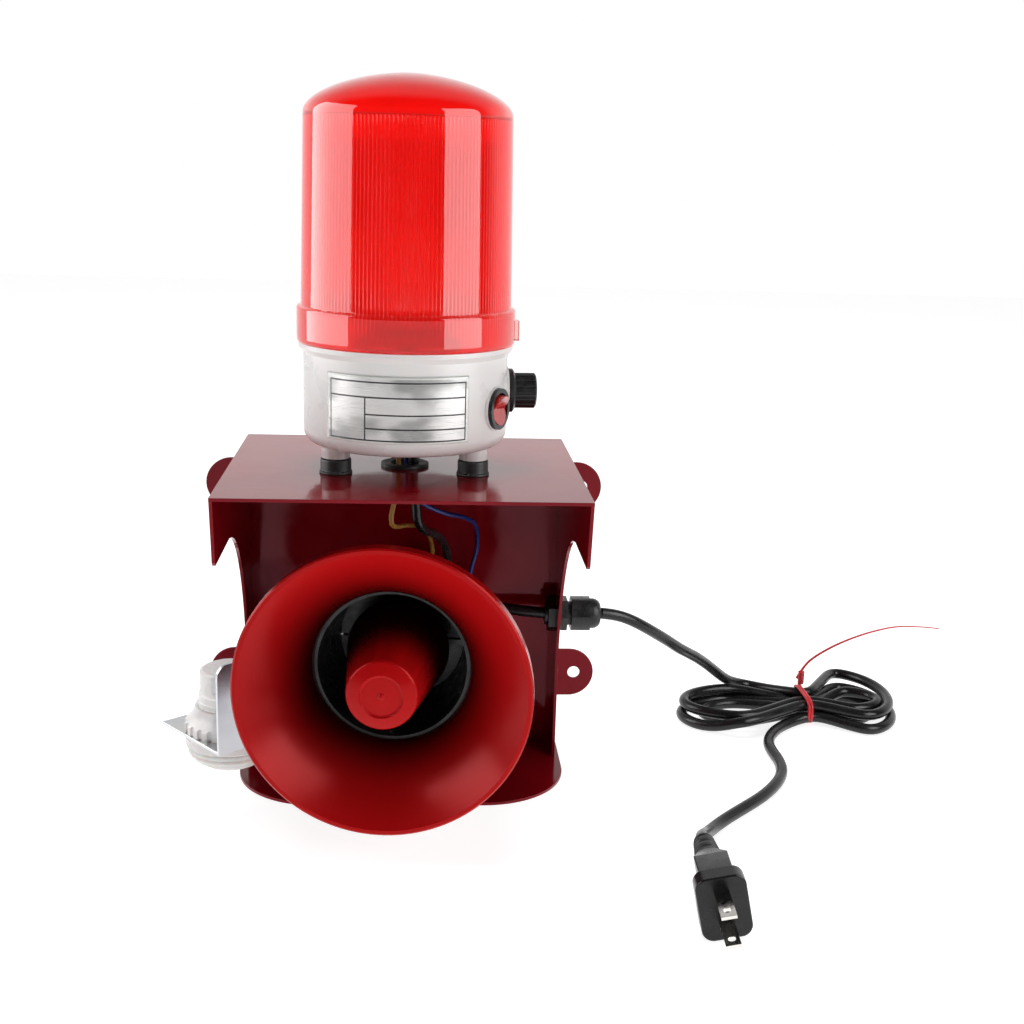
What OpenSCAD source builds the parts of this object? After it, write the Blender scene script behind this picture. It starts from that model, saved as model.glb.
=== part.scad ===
// Wall alarm siren: folded steel bracket, rotating beacon, reflex horn and motion sensor.
// Millimetres, +Z up. Origin: centre of the four wall holes, on the back face (y = 0).

/* [Bracket] */
// Width of the bracket across its side panels
body_w = 160; // [150:1:190]
// Depth of the roof from the wall to its front edge
roof_d = 142; // [136:1:160]
// Height of the roof's top face above the centre of the wall holes
roof_z = 76; // [74:1:90]
// Distance from the centre of the wall holes down to the underside
base_z = 91; // [88:1:110]
// Thickness of the sheet steel
sheet = 1.5; // [1:0.1:2]
// Spacing of the wall holes across the bracket
hole_x = 182; // [178:1:220]
// Spacing of the wall holes up the bracket
hole_z = 102; // [80:1:110]
// Diameter of the wall holes
hole_dia = 6.5; // [4.5:0.5:8]

/* [Beacon] */
// Distance of the beacon's axis from the wall
beacon_y = 71; // [66:1:78]
// Outer diameter of the beacon's white base
base_dia = 92.5; // [90:0.5:96]
// Outer diameter of the dome at its foot
dome_dia = 94.5; // [92:0.5:96]
// Height of the dome's crown above the roof
dome_top = 174; // [165:1:190]
// Teeth on the turntable gear
gear_teeth = 48; // [48:12:60]
// Teeth on the motor's pinion
pinion_teeth = 12; // [12:1:12]

/* [Horn] */
// Outer diameter of the horn's mouth
mouth_dia = 132; // [110:1:134]
// Height of the horn's axis above the centre of the wall holes
horn_z = -12; // [-14:1:-7]
// Distance of the horn's pivots from the wall
horn_y = 55; // [52:1:58]
// Swivel of the horn, in degrees, negative to the left
horn_yaw = -6; // [-8:1:4]

/* [Sensor] */
// Swivel of the sensor's bracket, in degrees
sensor_yaw = -50; // [-55:1:-46]
// Outer diameter of the sensor's ring nut and lens
lens_dia = 44; // [40:1:44]

/* [Cord] */
// Outer diameter of the mains cord
cord_dia = 6; // [5:0.5:6]

/* [Hidden] */
$fn = 64;
half_w = body_w / 2;
roof_under = roof_z - sheet;
floor_top = -base_z + sheet;
big = 400;

paint_red = [0.42, 0.02, 0.05];
horn_red = [0.72, 0.03, 0.04];
dome_red = [0.95, 0.05, 0.04, 0.6];
white_abs = [0.92, 0.92, 0.90];
black_pa = [0.06, 0.06, 0.07];
rubber_black = [0.04, 0.04, 0.04];
zinc = [0.72, 0.76, 0.82];
steel = [0.75, 0.75, 0.75];

// ---- helpers ---------------------------------------------------------------------------

// Point on a cubic Bezier curve at t from 0 to 1
function bezier(a, b, c, d, t) =
  pow(1 - t, 3) * a + 3 * pow(1 - t, 2) * t * b + 3 * (1 - t) * t * t * c + pow(t, 3) * d;

function unit(v) = v / norm(v);

// Point on a smooth curve through the points p, between p[i] and p[i + 1]
function spline_point(p, i, t) =
  let (a = p[max(i - 1, 0)], b = p[i], c = p[i + 1], d = p[min(i + 2, len(p) - 1)])
  0.5 * (2 * b + (c - a) * t + (2 * a - 5 * b + 4 * c - d) * t * t + (3 * b - a - 3 * c + d) * t * t * t);

function smooth(p, steps) = concat(
  [for (i = [0:len(p) - 2]) for (j = [0:steps - 1]) spline_point(p, i, j / steps)],
  [p[len(p) - 1]]);

// Direction of the path p at its point i
function heading(p, i) = unit(p[min(i + 1, len(p) - 1)] - p[max(i - 1, 0)]);

// A normal carried along the path from ring to ring, so that the tube doesn't twist
function carried(p, i) =
  let (t = heading(p, i), n = i == 0
    ? (abs(t[2]) < 0.9 ? [0, 0, 1] : [1, 0, 0])
    : carried(p, i - 1))
  unit(n - (n * t) * t);

// One tube of radius r swept along the path p, as a single closed polyhedron
module tube(p, r, sides = 10) {
  rings = [for (i = [0:len(p) - 1])
    let (t = heading(p, i), n = carried(p, i), b = cross(t, n))
    for (k = [0:sides - 1]) p[i] + r * cos(360 * k / sides) * n + r * sin(360 * k / sides) * b];
  last = (len(p) - 1) * sides;
  sheet_faces = [for (i = [0:len(p) - 2]) for (k = [0:sides - 1])
    let (a = i * sides + k, b = i * sides + (k + 1) % sides)
    [a, a + sides, b + sides, b]];
  caps = [[for (k = [0:sides - 1]) k], [for (k = [sides - 1:-1:0]) last + k]];
  polyhedron(rings, concat(sheet_faces, caps), convexity = 10);
}

module tube_ring(r_out, r_in, h) {
  difference() {
    cylinder(r = r_out, h = h);
    translate([0, 0, -1]) cylinder(r = r_in, h = h + 2);
  }
}

module hex(across, h) {
  cylinder(r = across / sqrt(3), h = h, $fn = 6);
}

// Frame of the beacon: its axis, with z counted up from the roof
module at_beacon() {
  translate([0, -beacon_y, roof_z]) children();
}

// Radial frame on the beacon: azimuth from the front to the right, local z pointing outwards
module at_side(azimuth, height) {
  at_beacon() rotate([0, 0, azimuth]) translate([0, 0, height]) rotate([90, 0, 0]) children();
}

// Frame of the horn: origin on its tilt axis, local z forward along the horn's axis
module at_horn() {
  translate([0, -horn_y, horn_z]) rotate([0, 0, horn_yaw]) rotate([90, 0, 0]) children();
}

// Frame of the sensor: origin on its pivot bolt, at the top of the lug's flange
module at_sensor() {
  translate([pivot_x, pivot_y, pivot_z]) rotate([0, 0, sensor_yaw]) children();
}

// ---- bracket ---------------------------------------------------------------------------

hood_drop = 31;
hood_rake = 6;
hood_flat = 90;
waist_d = 24;
waist_drop = 112;
floor_d = 80;
floor_corner = 42;
floor_over = 2.2;
ear_r = 13;
ear_x = hole_x / 2 - 2.5;
wire_hole_r = 9;
post_r = 35.5;
post_angles = [0, 120, 240];
yoke_bolt_r = 4;
gland_y = 13;
gland_z = -14;
gland_thread_r = 6;

floor_half = half_w + floor_over;

module side_outline() {
  curve = [for (i = [0:12]) let (t = i / 12) [
    bezier(hood_flat, 52, 28, waist_d, t),
    bezier(roof_z - hood_drop, roof_z - 35, roof_z - 76, roof_z - waist_drop, t)]];
  polygon(concat(
    [[sheet, -base_z], [sheet, roof_z], [roof_d, roof_z],
     [roof_d - hood_rake, roof_z - hood_drop + 1.5], [roof_d - hood_rake - 1.5, roof_z - hood_drop]],
    curve, [[waist_d, -base_z]]));
}

module floor_outline() {
  intersection() {
    union() {
      translate([-floor_half, -floor_d + floor_corner]) square([2 * floor_half, floor_d]);
      translate([-floor_half + floor_corner, -floor_d])
        square([2 * (floor_half - floor_corner), floor_d]);
      for (side = [-1, 1]) translate([side * (floor_half - floor_corner), -floor_d + floor_corner])
        circle(r = floor_corner, $fn = 96);
    }
    translate([-floor_half, -floor_d]) square([2 * floor_half, floor_d - sheet]);
  }
}

module housing_shell() {
  color(paint_red) difference() {
    union() {
      translate([-half_w, -roof_d, roof_under]) cube([body_w, roof_d - sheet, sheet]);
      for (x = [-half_w, half_w - sheet])
        translate([x, 0, 0]) mirror([0, 1, 0]) rotate([90, 0, 90])
          linear_extrude(sheet) side_outline();
      translate([0, 0, -base_z]) linear_extrude(sheet) floor_outline();
    }
    at_beacon() translate([0, 0, -sheet - 1]) {
      cylinder(r = wire_hole_r, h = sheet + 2);
      for (a = post_angles) rotate([0, 0, a]) translate([0, post_r, 0])
        cylinder(r = 2.2, h = sheet + 2, $fn = 32);
    }
    translate([0, -horn_y, -base_z - 1]) cylinder(r = yoke_bolt_r + 0.2, h = sheet + 2);
    translate([half_w - sheet - 1, -gland_y, gland_z]) rotate([0, 90, 0])
      cylinder(r = gland_thread_r + 0.2, h = sheet + 2);
    for (z = lug_rivet_z) translate([-half_w - 1, -lug_rivet_y, z]) rotate([0, 90, 0])
      cylinder(r = 2.1, h = sheet + 2, $fn = 32);
  }
}

module back_plate() {
  color(paint_red) difference() {
    rotate([90, 0, 0]) linear_extrude(sheet) union() {
      translate([-half_w, -base_z]) square([body_w, base_z + roof_z]);
      for (x = [-1, 1]) for (z = [-1, 1]) {
        translate([x * ear_x, z * hole_z / 2]) circle(r = ear_r);
        translate([x > 0 ? half_w - 1 : -ear_x, z * hole_z / 2 - ear_r])
          square([ear_x - half_w + 1, 2 * ear_r]);
      }
    }
    for (x = [-1, 1]) for (z = [-1, 1])
      translate([x * hole_x / 2, 1, z * hole_z / 2]) rotate([90, 0, 0])
        cylinder(r = hole_dia / 2, h = sheet + 2);
    translate([earth_x, 1, earth_z]) rotate([90, 0, 0]) cylinder(r = 2.1, h = sheet + 2, $fn = 32);
  }
}

earth_x = 62;
earth_z = -48;

module earth_screw() {
  color("goldenrod") translate([earth_x, 0, earth_z]) rotate([90, 0, 0]) {
    cylinder(r = 2, h = 9, $fn = 32);
    translate([0, 0, sheet]) tube_ring(5, 2.05, 1);
    translate([0, 0, sheet + 1]) hex(7, 3);
    translate([0, 0, 9]) cylinder(r = 3.6, h = 2.4);
  }
}

// ---- beacon: fixed pieces --------------------------------------------------------------

sleeve_h = 7;
base_bottom = 12;
base_top = 57.5;
base_r = base_dia / 2;
wall = 2.5;
ledge_z = 54;
switch_az = 61;
switch_h = 31;
knob_az = 93;
knob_h = 35.5;
pad_r = base_r + 0.4;

module roof_grommet() {
  color(rubber_black) at_beacon() translate([0, 0, -sheet]) rotate_extrude() polygon([
    [6.5, -1.5], [11, -1.5], [11, -0.02], [wire_hole_r - 0.05, -0.02],
    [wire_hole_r - 0.05, sheet + 0.02], [11, sheet + 0.02], [11, sheet + 1.5], [6.5, sheet + 1.5]]);
}

module foot_sleeves() {
  color(rubber_black) at_beacon() for (a = post_angles) rotate([0, 0, a]) translate([0, post_r, 0])
    rotate_extrude() polygon([
      [4.6, 0], [7.4, 0], [7.4, 1], [6.9, 1.6], [6.9, sleeve_h - 0.6], [6.4, sleeve_h], [4.6, sleeve_h]]);
}

module beacon_screws() {
  color(steel) at_beacon() for (a = post_angles) rotate([0, 0, a]) translate([0, post_r, -sheet]) {
    translate([0, 0, -1]) tube_ring(5.5, 2.05, 1);
    translate([0, 0, -1]) cylinder(r = 2, h = 14, $fn = 32);
    difference() {
      translate([0, 0, -3.6]) cylinder(r = 3.8, h = 2.6);
      translate([-0.5, -5, -4.6]) cube([1, 10, 2]);
      translate([-5, -0.5, -4.6]) cube([10, 1, 2]);
    }
  }
}

module beacon_base() {
  color(white_abs) at_beacon() difference() {
    union() {
      rotate_extrude($fn = 128) polygon(concat(
        [[8, base_bottom], [base_r - 6, base_bottom]],
        [for (a = [-75:15:0]) [base_r - 6 + 6 * cos(a), base_bottom + 6 + 6 * sin(a)]],
        [[base_r, ledge_z - 1], [base_r + 2.2, ledge_z + 1.5], [base_r + 2.2, base_top],
         [base_r - wall, base_top], [base_r - wall, ledge_z], [base_r - wall - 2, ledge_z],
         [base_r - wall - 2, ledge_z - 3], [base_r - wall, ledge_z - 5],
         [base_r - wall, base_bottom + 6], [base_r - 6, base_bottom + 3], [8, base_bottom + 3]]));
      for (a = post_angles) rotate([0, 0, a]) translate([0, post_r, 0]) {
        cylinder(r = 4.5, h = base_bottom + 1);
        translate([0, 0, sleeve_h + 0.1]) cylinder(r = 6.3, h = base_bottom - sleeve_h + 1);
      }
      for (a = [60, 180, 300]) rotate([0, 0, a]) translate([0, 27, base_bottom + 2.9])
        cylinder(r = 3, h = 5.1, $fn = 32);
      rotate([0, 0, switch_az]) translate([0, 0, switch_h]) rotate([90, 0, 0])
        translate([0, 0, base_r - wall]) cylinder(r = 10, h = wall + 0.4);
      rotate([0, 0, knob_az]) translate([0, 0, knob_h]) rotate([90, 0, 0])
        translate([0, 0, base_r - wall]) cylinder(r = 11, h = wall + 0.4);
    }
    rotate([0, 0, switch_az]) translate([0, 0, switch_h]) rotate([90, 0, 0])
      translate([0, 0, base_r - 12]) cylinder(r = 8.1, h = 16);
    rotate([0, 0, knob_az]) translate([0, 0, knob_h]) rotate([90, 0, 0])
      translate([0, 0, base_r - 12]) cylinder(r = 3.7, h = 16, $fn = 48);
    for (a = post_angles) rotate([0, 0, a]) translate([0, post_r, -1]) cylinder(r = 2.1, h = 13, $fn = 32);
  }
}

module name_plate() {
  color("silver") at_beacon() translate([0, 0, 16.7 + 2]) rotate([0, 0, -90 - 46])
    rotate_extrude(angle = 82, $fn = 128) translate([base_r + 0.02, 0]) square([0.5, 29]);
}

module switch_body() {
  color(black_pa) at_side(switch_az, switch_h) difference() {
    union() {
      translate([0, 0, pad_r]) cylinder(r = 9.2, h = 1.8);
      translate([0, 0, pad_r - 14]) cylinder(r = 7.9, h = 14.1);
      for (x = [-3.2, 3.2]) translate([x - 0.4, -2.4, pad_r - 20]) cube([0.8, 4.8, 6.1]);
    }
    translate([0, 0, pad_r - 8]) cylinder(r = 7.2, h = 12);
    translate([0, 0, pad_r - 1]) rotate([0, 90, 0])
      cylinder(r = trunnion_r + 0.06, h = 20, center = true, $fn = 32);
  }
}

rocker_tilt = 9;
trunnion_r = 0.8;

module switch_rocker() {
  color("red") at_side(switch_az, switch_h) translate([0, 0, pad_r - 1]) rotate([rocker_tilt, 0, 0]) {
    rotate([0, 90, 0]) cylinder(r = trunnion_r, h = 15.4, center = true, $fn = 32);
    intersection() {
      cylinder(r = 6.6, h = 12, center = true);
      rotate([0, 90, 0]) linear_extrude(14, center = true)
        polygon([[1.2, -6.8], [-4.6, -6.8], [-1.8, 0], [-4.6, 6.8], [1.2, 6.8], [3.4, 2], [3.4, -2]]);
    }
  }
}

module potentiometer() {
  color("dimgray") at_side(knob_az, knob_h) difference() {
    union() {
      translate([0, 0, base_r - wall - 10]) cylinder(r = 8, h = 8.6);
      translate([0, 0, base_r - wall - 2]) cylinder(r = 3.6, h = 4.4, $fn = 48);
    }
    translate([0, 0, base_r - wall - 6]) cylinder(r = 3.05, h = 12, $fn = 48);
  }
}

module pot_shaft() {
  color("silver") at_side(knob_az, knob_h) translate([0, 0, base_r - wall - 5.7])
    cylinder(r = 3, h = 15.6, $fn = 48);
}

knob_foot = pad_r + 0.6;
knob_flutes = 18;

module volume_knob() {
  color(black_pa) at_side(knob_az, knob_h) difference() {
    union() {
      translate([0, 0, knob_foot]) cylinder(r = 10, h = 1.6);
      translate([0, 0, knob_foot + 1.6]) cylinder(r1 = 10, r2 = 8.6, h = 1);
      translate([0, 0, knob_foot + 2.5]) cylinder(r = 8.1, h = 9.2);
      translate([0, 0, knob_foot + 11.7]) cylinder(r1 = 8.1, r2 = 7.4, h = 0.7);
    }
    for (i = [0:knob_flutes - 1]) rotate([0, 0, 360 * i / knob_flutes])
      translate([8.6, 0, knob_foot + 2.7]) cylinder(r = 0.9, h = 12, $fn = 16);
    translate([0, 0, knob_foot - 1]) cylinder(r = 3.03, h = 9.4, $fn = 48);
  }
}

module circuit_board() {
  color("darkgreen") at_beacon() translate([0, 0, base_bottom + 8]) {
    difference() {
      cylinder(r = 36, h = 1.6);
      translate([0, 0, -1]) cylinder(r = 7, h = 4);
    }
    translate([-24, -12, 1.6]) cube([14, 10, 9]);
    translate([-18, 10, 1.6]) cylinder(r = 5, h = 14);
    translate([10, -18, 1.6]) cube([8, 6, 4]);
  }
}

gear_module = 1;
gear_z = 60;
gear_h = 4;
gear_r = gear_teeth * gear_module / 2;
pinion_r = pinion_teeth * gear_module / 2;
motor_off = gear_r + pinion_r;
post_shaft_r = 4;
shaft_r = 1.5;

module chassis_plate() {
  color("gray") at_beacon() translate([0, 0, ledge_z]) difference() {
    cylinder(r = base_r - wall - 0.3, h = 2);
    translate([0, motor_off, -1]) cylinder(r = 4.2, h = 4, $fn = 48);
  }
}

module motor() {
  color("silver") at_beacon() translate([0, motor_off, 0]) difference() {
    union() {
      translate([0, 0, ledge_z - 27]) cylinder(r = 10, h = 27);
      translate([0, 0, ledge_z - 0.1]) cylinder(r = 4, h = 2.1, $fn = 48);
    }
    translate([0, 0, ledge_z - 20]) cylinder(r = shaft_r + 0.06, h = 24, $fn = 32);
  }
}

module motor_shaft() {
  color(steel) at_beacon() translate([0, motor_off, ledge_z - 19.5]) cylinder(r = shaft_r, h = 30.5, $fn = 32);
}

module gear_post() {
  color(steel) at_beacon() {
    translate([0, 0, ledge_z + 2]) cylinder(r = 9, h = 3);
    translate([0, 0, ledge_z + 5]) cylinder(r = post_shaft_r, h = 7.5, $fn = 64);
  }
}

module lamp_holder() {
  color(white_abs) at_beacon() translate([0, 0, ledge_z + 12.5]) difference() {
    union() {
      cylinder(r = 12, h = 3);
      translate([0, 0, 3]) cylinder(r = 9.5, h = 5);
    }
    translate([0, 0, 3]) cylinder(r = 7.2, h = 6);
  }
}

module led_lamp() {
  color([1, 0.9, 0.6]) at_beacon() translate([0, 0, ledge_z + 15.5]) rotate_extrude() polygon(concat(
    [[0, 0], [7, 0], [7, 7], [9, 9], [9, 38]],
    [for (a = [15:15:90]) [9 * cos(a), 38 + 9 * sin(a)]]));
}

// ---- beacon: moving pieces -------------------------------------------------------------

collar_r = 49.2;
collar_top = 73.5;
dome_wall = 2;
shoulder_z = 156.5;
shoulder_r = dome_dia / 2 - 1.35;
crown_h = dome_top - shoulder_z;

// Point of the crown at an angle up from the shoulder, a quarter turn pulled a little towards a cone
function crown(r, h, a) = [r * pow(cos(a), 1.17), shoulder_z + h * pow(sin(a), 1.09)];

module dome() {
  color(dome_red) at_beacon() union() {
    rotate_extrude($fn = 160) polygon(concat(
      [[collar_r - 2.2, base_top + 0.3], [collar_r - 0.3, base_top + 0.3], [collar_r, base_top + 1],
       [collar_r, collar_top - 1], [collar_r - 0.8, collar_top], [dome_dia / 2, collar_top + 0.2]],
      [for (a = [0:10:80]) crown(shoulder_r, crown_h, a)],
      [[0, dome_top], [0, dome_top - dome_wall]],
      [for (a = [80:-10:0]) crown(shoulder_r - dome_wall, crown_h - dome_wall, a)],
      [[dome_dia / 2 - dome_wall, collar_top - 1.5], [collar_r - 2.2, collar_top - 2.5]]));
    rotate([0, 0, 92]) translate([-4, -collar_r - 2, base_top + 1.3]) cube([8, 4, 9]);
  }
}

// Outline of a spur gear with straight-sided teeth, one tooth pointing at the angle start
module gear_outline(teeth, start) {
  pitch = teeth * gear_module / 2;
  foot = pitch - 1.05;
  tip = pitch + 0.8;
  foot_a = 90 / teeth * 1.15;
  tip_a = 90 / teeth * 0.45;
  polygon([for (i = [0:teeth - 1]) let (m = start + 360 * i / teeth)
    each [[foot * cos(m - foot_a), foot * sin(m - foot_a)], [tip * cos(m - tip_a), tip * sin(m - tip_a)],
          [tip * cos(m + tip_a), tip * sin(m + tip_a)], [foot * cos(m + foot_a), foot * sin(m + foot_a)]]]);
}

module turntable_gear() {
  color("ivory") at_beacon() difference() {
    union() {
      translate([0, 0, gear_z]) linear_extrude(gear_h) gear_outline(gear_teeth, 90 + 180 / gear_teeth);
      translate([0, 0, gear_z + gear_h]) cylinder(r = 8, h = 2);
    }
    translate([0, 0, gear_z - 1]) cylinder(r = post_shaft_r + 0.06, h = gear_h + 4, $fn = 64);
  }
}

module reflector() {
  color("white") at_beacon() translate([0, 0, gear_z + gear_h]) {
    rotate([0, 0, 20]) rotate_extrude(angle = 150, $fn = 96) translate([20.4, 0]) square([1.2, 82]);
    rotate([0, 0, 20]) rotate_extrude(angle = 150, $fn = 96) translate([14, 0]) square([6.4, 1.5]);
  }
}

module motor_pinion() {
  color("ivory") at_beacon() translate([0, motor_off, gear_z]) difference() {
    linear_extrude(gear_h) gear_outline(pinion_teeth, -90);
    translate([0, 0, -1]) cylinder(r = shaft_r + 0.05, h = gear_h + 2, $fn = 32);
  }
}

// ---- electrics in the bracket ----------------------------------------------------------

module sound_module() {
  color(black_pa) difference() {
    translate([-36, -sheet - 18, -86]) cube([72, 18, 34]);
    for (x = [-28:8:28]) translate([x, -sheet - 20, -76]) cube([3, 4, 16]);
  }
}

block_x = 26;
block_z = -13;

module terminal_block() {
  color([0.85, 0.85, 0.8]) difference() {
    translate([block_x - 16, -sheet - 12, block_z - 9]) cube([32, 12, 18]);
    for (i = [0:2]) translate([block_x - 9 + 9 * i, -sheet - 8, block_z]) rotate([90, 0, 0])
      cylinder(r = 2.6, h = 8, $fn = 24);
  }
}

module gland_locknut() {
  color(black_pa) translate([half_w - sheet, -gland_y, gland_z]) rotate([0, -90, 0]) difference() {
    hex(17, 4);
    translate([0, 0, -1]) cylinder(r = gland_thread_r + 0.03, h = 6);
  }
}

module gland_body() {
  color(black_pa) translate([half_w, -gland_y, gland_z]) rotate([0, 90, 0]) difference() {
    union() {
      translate([0, 0, -sheet - 5.5]) cylinder(r = gland_thread_r, h = sheet + 6);
      cylinder(r = 8.8, h = 1.4);
      translate([0, 0, 1.4]) rotate([0, 0, 30]) hex(16, 3.2);
      translate([0, 0, 4.5]) cylinder(r = 6.2, h = 8);
    }
    translate([0, 0, -sheet - 6]) cylinder(r = cord_dia / 2 + 0.6, h = 22);
    translate([0, 0, 6]) cylinder(r = 4.9, h = 12);
  }
}

module gland_seal() {
  color(rubber_black) translate([half_w + 6.1, -gland_y, gland_z]) rotate([0, 90, 0])
    tube_ring(4.8, cord_dia / 2 + 0.05, 11);
}

module gland_nut() {
  color(black_pa) translate([half_w + 6.6, -gland_y, gland_z]) rotate([0, 90, 0]) difference() {
    union() {
      intersection() {
        rotate([0, 0, 30]) hex(16.4, 10);
        cylinder(r = 9, h = 10);
      }
      rotate_extrude() polygon(concat([[0, 9.5], [7.9, 9.5]],
        [for (a = [10:16:74]) [4.4 + 3.5 * cos(a), 11 + 4.6 * sin(a)]], [[0, 15.6]]));
    }
    translate([0, 0, -1]) cylinder(r = 6.25, h = 8);
    translate([0, 0, 5]) cylinder(r = 5, h = 5.6);
    translate([0, 0, 1]) cylinder(r = cord_dia / 2 + 0.4, h = 20);
  }
}

// Cables held all the way inside the bracket, drawn by hand
inner_cable_path = [[103, -13, -14], [88, -13, -14], [74, -13, -14], [66, -12.5, -13.5],
  [58, -11, -13], [50, -9, -12.5], [42.4, -8, -12]];
beacon_cable_path = [[4, -71, 95.5], [4, -71, 86], [4, -71, 74], [5, -71, 62], [6, -68, 50], [9, -58, 42],
  [14, -42, 36], [19, -26, 28], [22, -12, 16], [22, -9, 4], [22, -9, -4]];
wire_tan_path = [[-3, -71, 95.5], [-3, -71, 86], [-3, -71, 74], [-4, -71, 62], [-6, -70, 52], [-5, -64, 45],
  [2, -50, 42], [10, -32, 36], [14, -15, 22], [13.5, -8, 8], [13.5, -8, -4]];
wire_blue_path = [[1, -66.5, 95.5], [1, -66.5, 86], [1, -66.5, 74], [3, -64, 62], [9, -56, 54], [20, -46, 47],
  [30, -34, 42], [36, -20, 34], [37, -11, 20], [34.5, -8.5, 8], [33.5, -8, -4]];

module inner_cable() {
  color(rubber_black) tube(smooth(inner_cable_path, 2), cord_dia / 2, 12);
}

module beacon_cable() {
  color(rubber_black) tube(smooth(beacon_cable_path, 3), 2.2, 10);
}

module wire_tan() {
  color("peru") tube(smooth(wire_tan_path, 3), 1.2, 8);
}

module wire_blue() {
  color("mediumblue") tube(smooth(wire_blue_path, 3), 1.2, 8);
}

// ---- horn ------------------------------------------------------------------------------

mouth_f = 83;
mouth_r = mouth_dia / 2;
bell_len = 37;
throat_r = 36;
arm_x = 34.5;
arm_t = 2;
arm_w = 18;
yoke_t = 2.5;

// Inner radius of the bell at a distance behind the mouth
function bell_in(s) = throat_r + (mouth_r - 2.5 - throat_r) * pow(1 - s / bell_len, 1.5);

module yoke_bolt() {
  color(steel) translate([0, -horn_y, floor_top]) {
    translate([0, 0, -sheet + 0.2]) cylinder(r = yoke_bolt_r, h = sheet + 9, $fn = 64);
    translate([0, 0, yoke_t + 0.3]) tube_ring(8, yoke_bolt_r + 0.05, 1.2);
    translate([0, 0, yoke_t + 1.5]) difference() {
      hex(13, 5);
      translate([0, 0, -1]) cylinder(r = yoke_bolt_r - 0.5, h = 7, $fn = 48);
    }
  }
}

module horn_yoke() {
  color(horn_red) translate([0, -horn_y, 0]) rotate([0, 0, horn_yaw]) difference() {
    union() {
      translate([-arm_x - arm_t, -arm_w / 2, floor_top + 0.15])
        cube([2 * (arm_x + arm_t), arm_w, yoke_t]);
      for (side = [-1, 1]) {
        translate([side > 0 ? arm_x : -arm_x - arm_t, -arm_w / 2, floor_top + 0.15])
          cube([arm_t, arm_w, horn_z - floor_top - 0.15]);
        translate([side > 0 ? arm_x : -arm_x - arm_t, 0, horn_z]) rotate([0, 90, 0])
          cylinder(r = arm_w / 2, h = arm_t);
      }
    }
    translate([0, 0, floor_top - 1]) cylinder(r = yoke_bolt_r + 0.08, h = yoke_t + 3);
    translate([-60, 0, horn_z]) rotate([0, 90, 0]) cylinder(r = 3.05, h = 120);
  }
}

module tilt_bolts() {
  color(steel) translate([0, -horn_y, horn_z]) rotate([0, 0, horn_yaw])
    for (side = [-1, 1]) rotate([0, side * 90, 0]) {
      translate([0, 0, 29]) cylinder(r = 3, h = arm_x + arm_t - 29 + 1.5);
      translate([0, 0, arm_x + arm_t]) tube_ring(6.5, 3.02, 1);
      translate([0, 0, arm_x + arm_t + 1]) hex(10, 3.4);
    }
}

module horn_bell() {
  steps = 14;
  color(horn_red) at_horn() difference() {
    rotate_extrude($fn = 160) polygon(concat(
      [for (i = [0:steps]) let (s = bell_len * i / steps) [bell_in(s), mouth_f - s]],
      [[throat_r, mouth_f - 45], [throat_r + 1.8, mouth_f - 45]],
      [for (i = [steps:-1:1]) let (s = bell_len * i / steps) [bell_in(s) + 1.9, mouth_f - s]],
      [[mouth_r - 1.6, mouth_f - 2], [mouth_r - 1.6, mouth_f - 7], [mouth_r, mouth_f - 7],
       [mouth_r, mouth_f - 0.8], [mouth_r - 0.8, mouth_f]]));
    for (a = [30, 150, 270]) rotate([0, 0, a]) translate([throat_r - 4, 0, mouth_f - 41.5]) rotate([0, 90, 0])
      cylinder(r = 1.6, h = 8, $fn = 24);
  }
}

module bell_screws() {
  color(steel) at_horn() for (a = [30, 150, 270]) rotate([0, 0, a])
    translate([throat_r + 1.85, 0, mouth_f - 41.5]) rotate([0, 90, 0]) {
      translate([0, 0, -3.6]) cylinder(r = 1.5, h = 3.8, $fn = 24);
      cylinder(r = 2.8, h = 1.6, $fn = 32);
    }
}

module throat_insert() {
  color(black_pa) at_horn() difference() {
    union() {
      rotate_extrude($fn = 128) polygon([
        [throat_r - 0.1, mouth_f - 38], [throat_r - 1.6, mouth_f - 38], [29.9, mouth_f - 80],
        [11, mouth_f - 80], [11, mouth_f - 26], [9, mouth_f - 26], [9, mouth_f - 83],
        [30.2, mouth_f - 83], [30.2, mouth_f - 92],
        [32, mouth_f - 92], [32, mouth_f - 76], [37.5, mouth_f - 49], [37.5, mouth_f - 45.2],
        [throat_r - 0.1, mouth_f - 45.2]]);
      for (a = [0, 180]) rotate([0, 0, a]) translate([30.5, 0, 0]) rotate([0, 90, 0])
        cylinder(r = 7, h = arm_x - 30.5 - 0.35);
    }
    translate([-50, 0, 0]) rotate([0, 90, 0]) cylinder(r = 3.05, h = 100);
    for (a = [30, 150, 270]) rotate([0, 0, a]) translate([throat_r - 4, 0, mouth_f - 41.5]) rotate([0, 90, 0])
      cylinder(r = 1.55, h = 8, $fn = 24);
  }
}

module horn_bullet() {
  nose = 16;
  color(horn_red) at_horn() union() {
    rotate_extrude($fn = 96) polygon(concat(
      [[24.3, mouth_f - 62], [nose, mouth_f - 2]],
      [for (a = [15:15:75]) [nose - 2 + 2 * cos(a), mouth_f - 2 + 2 * sin(a)]],
      [[nose - 4, mouth_f + 0.9], [9.8, mouth_f + 1.6], [9.4, mouth_f + 0.9], [8.8, mouth_f + 0.6],
       [5, mouth_f + 1], [1.6, mouth_f + 1.2], [1.3, mouth_f + 1.8], [0.7, mouth_f + 2.2], [0, mouth_f + 2.3]],
      [[0, mouth_f - 1], [9, mouth_f - 1.2], [nose - 3, mouth_f - 2], [nose - 2, mouth_f - 4],
       [22.3, mouth_f - 62]]));
    for (a = [90, 210, 330]) rotate([0, 0, a]) translate([11.02, -1, mouth_f - 60]) cube([8.6, 2, 24]);
  }
}

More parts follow.
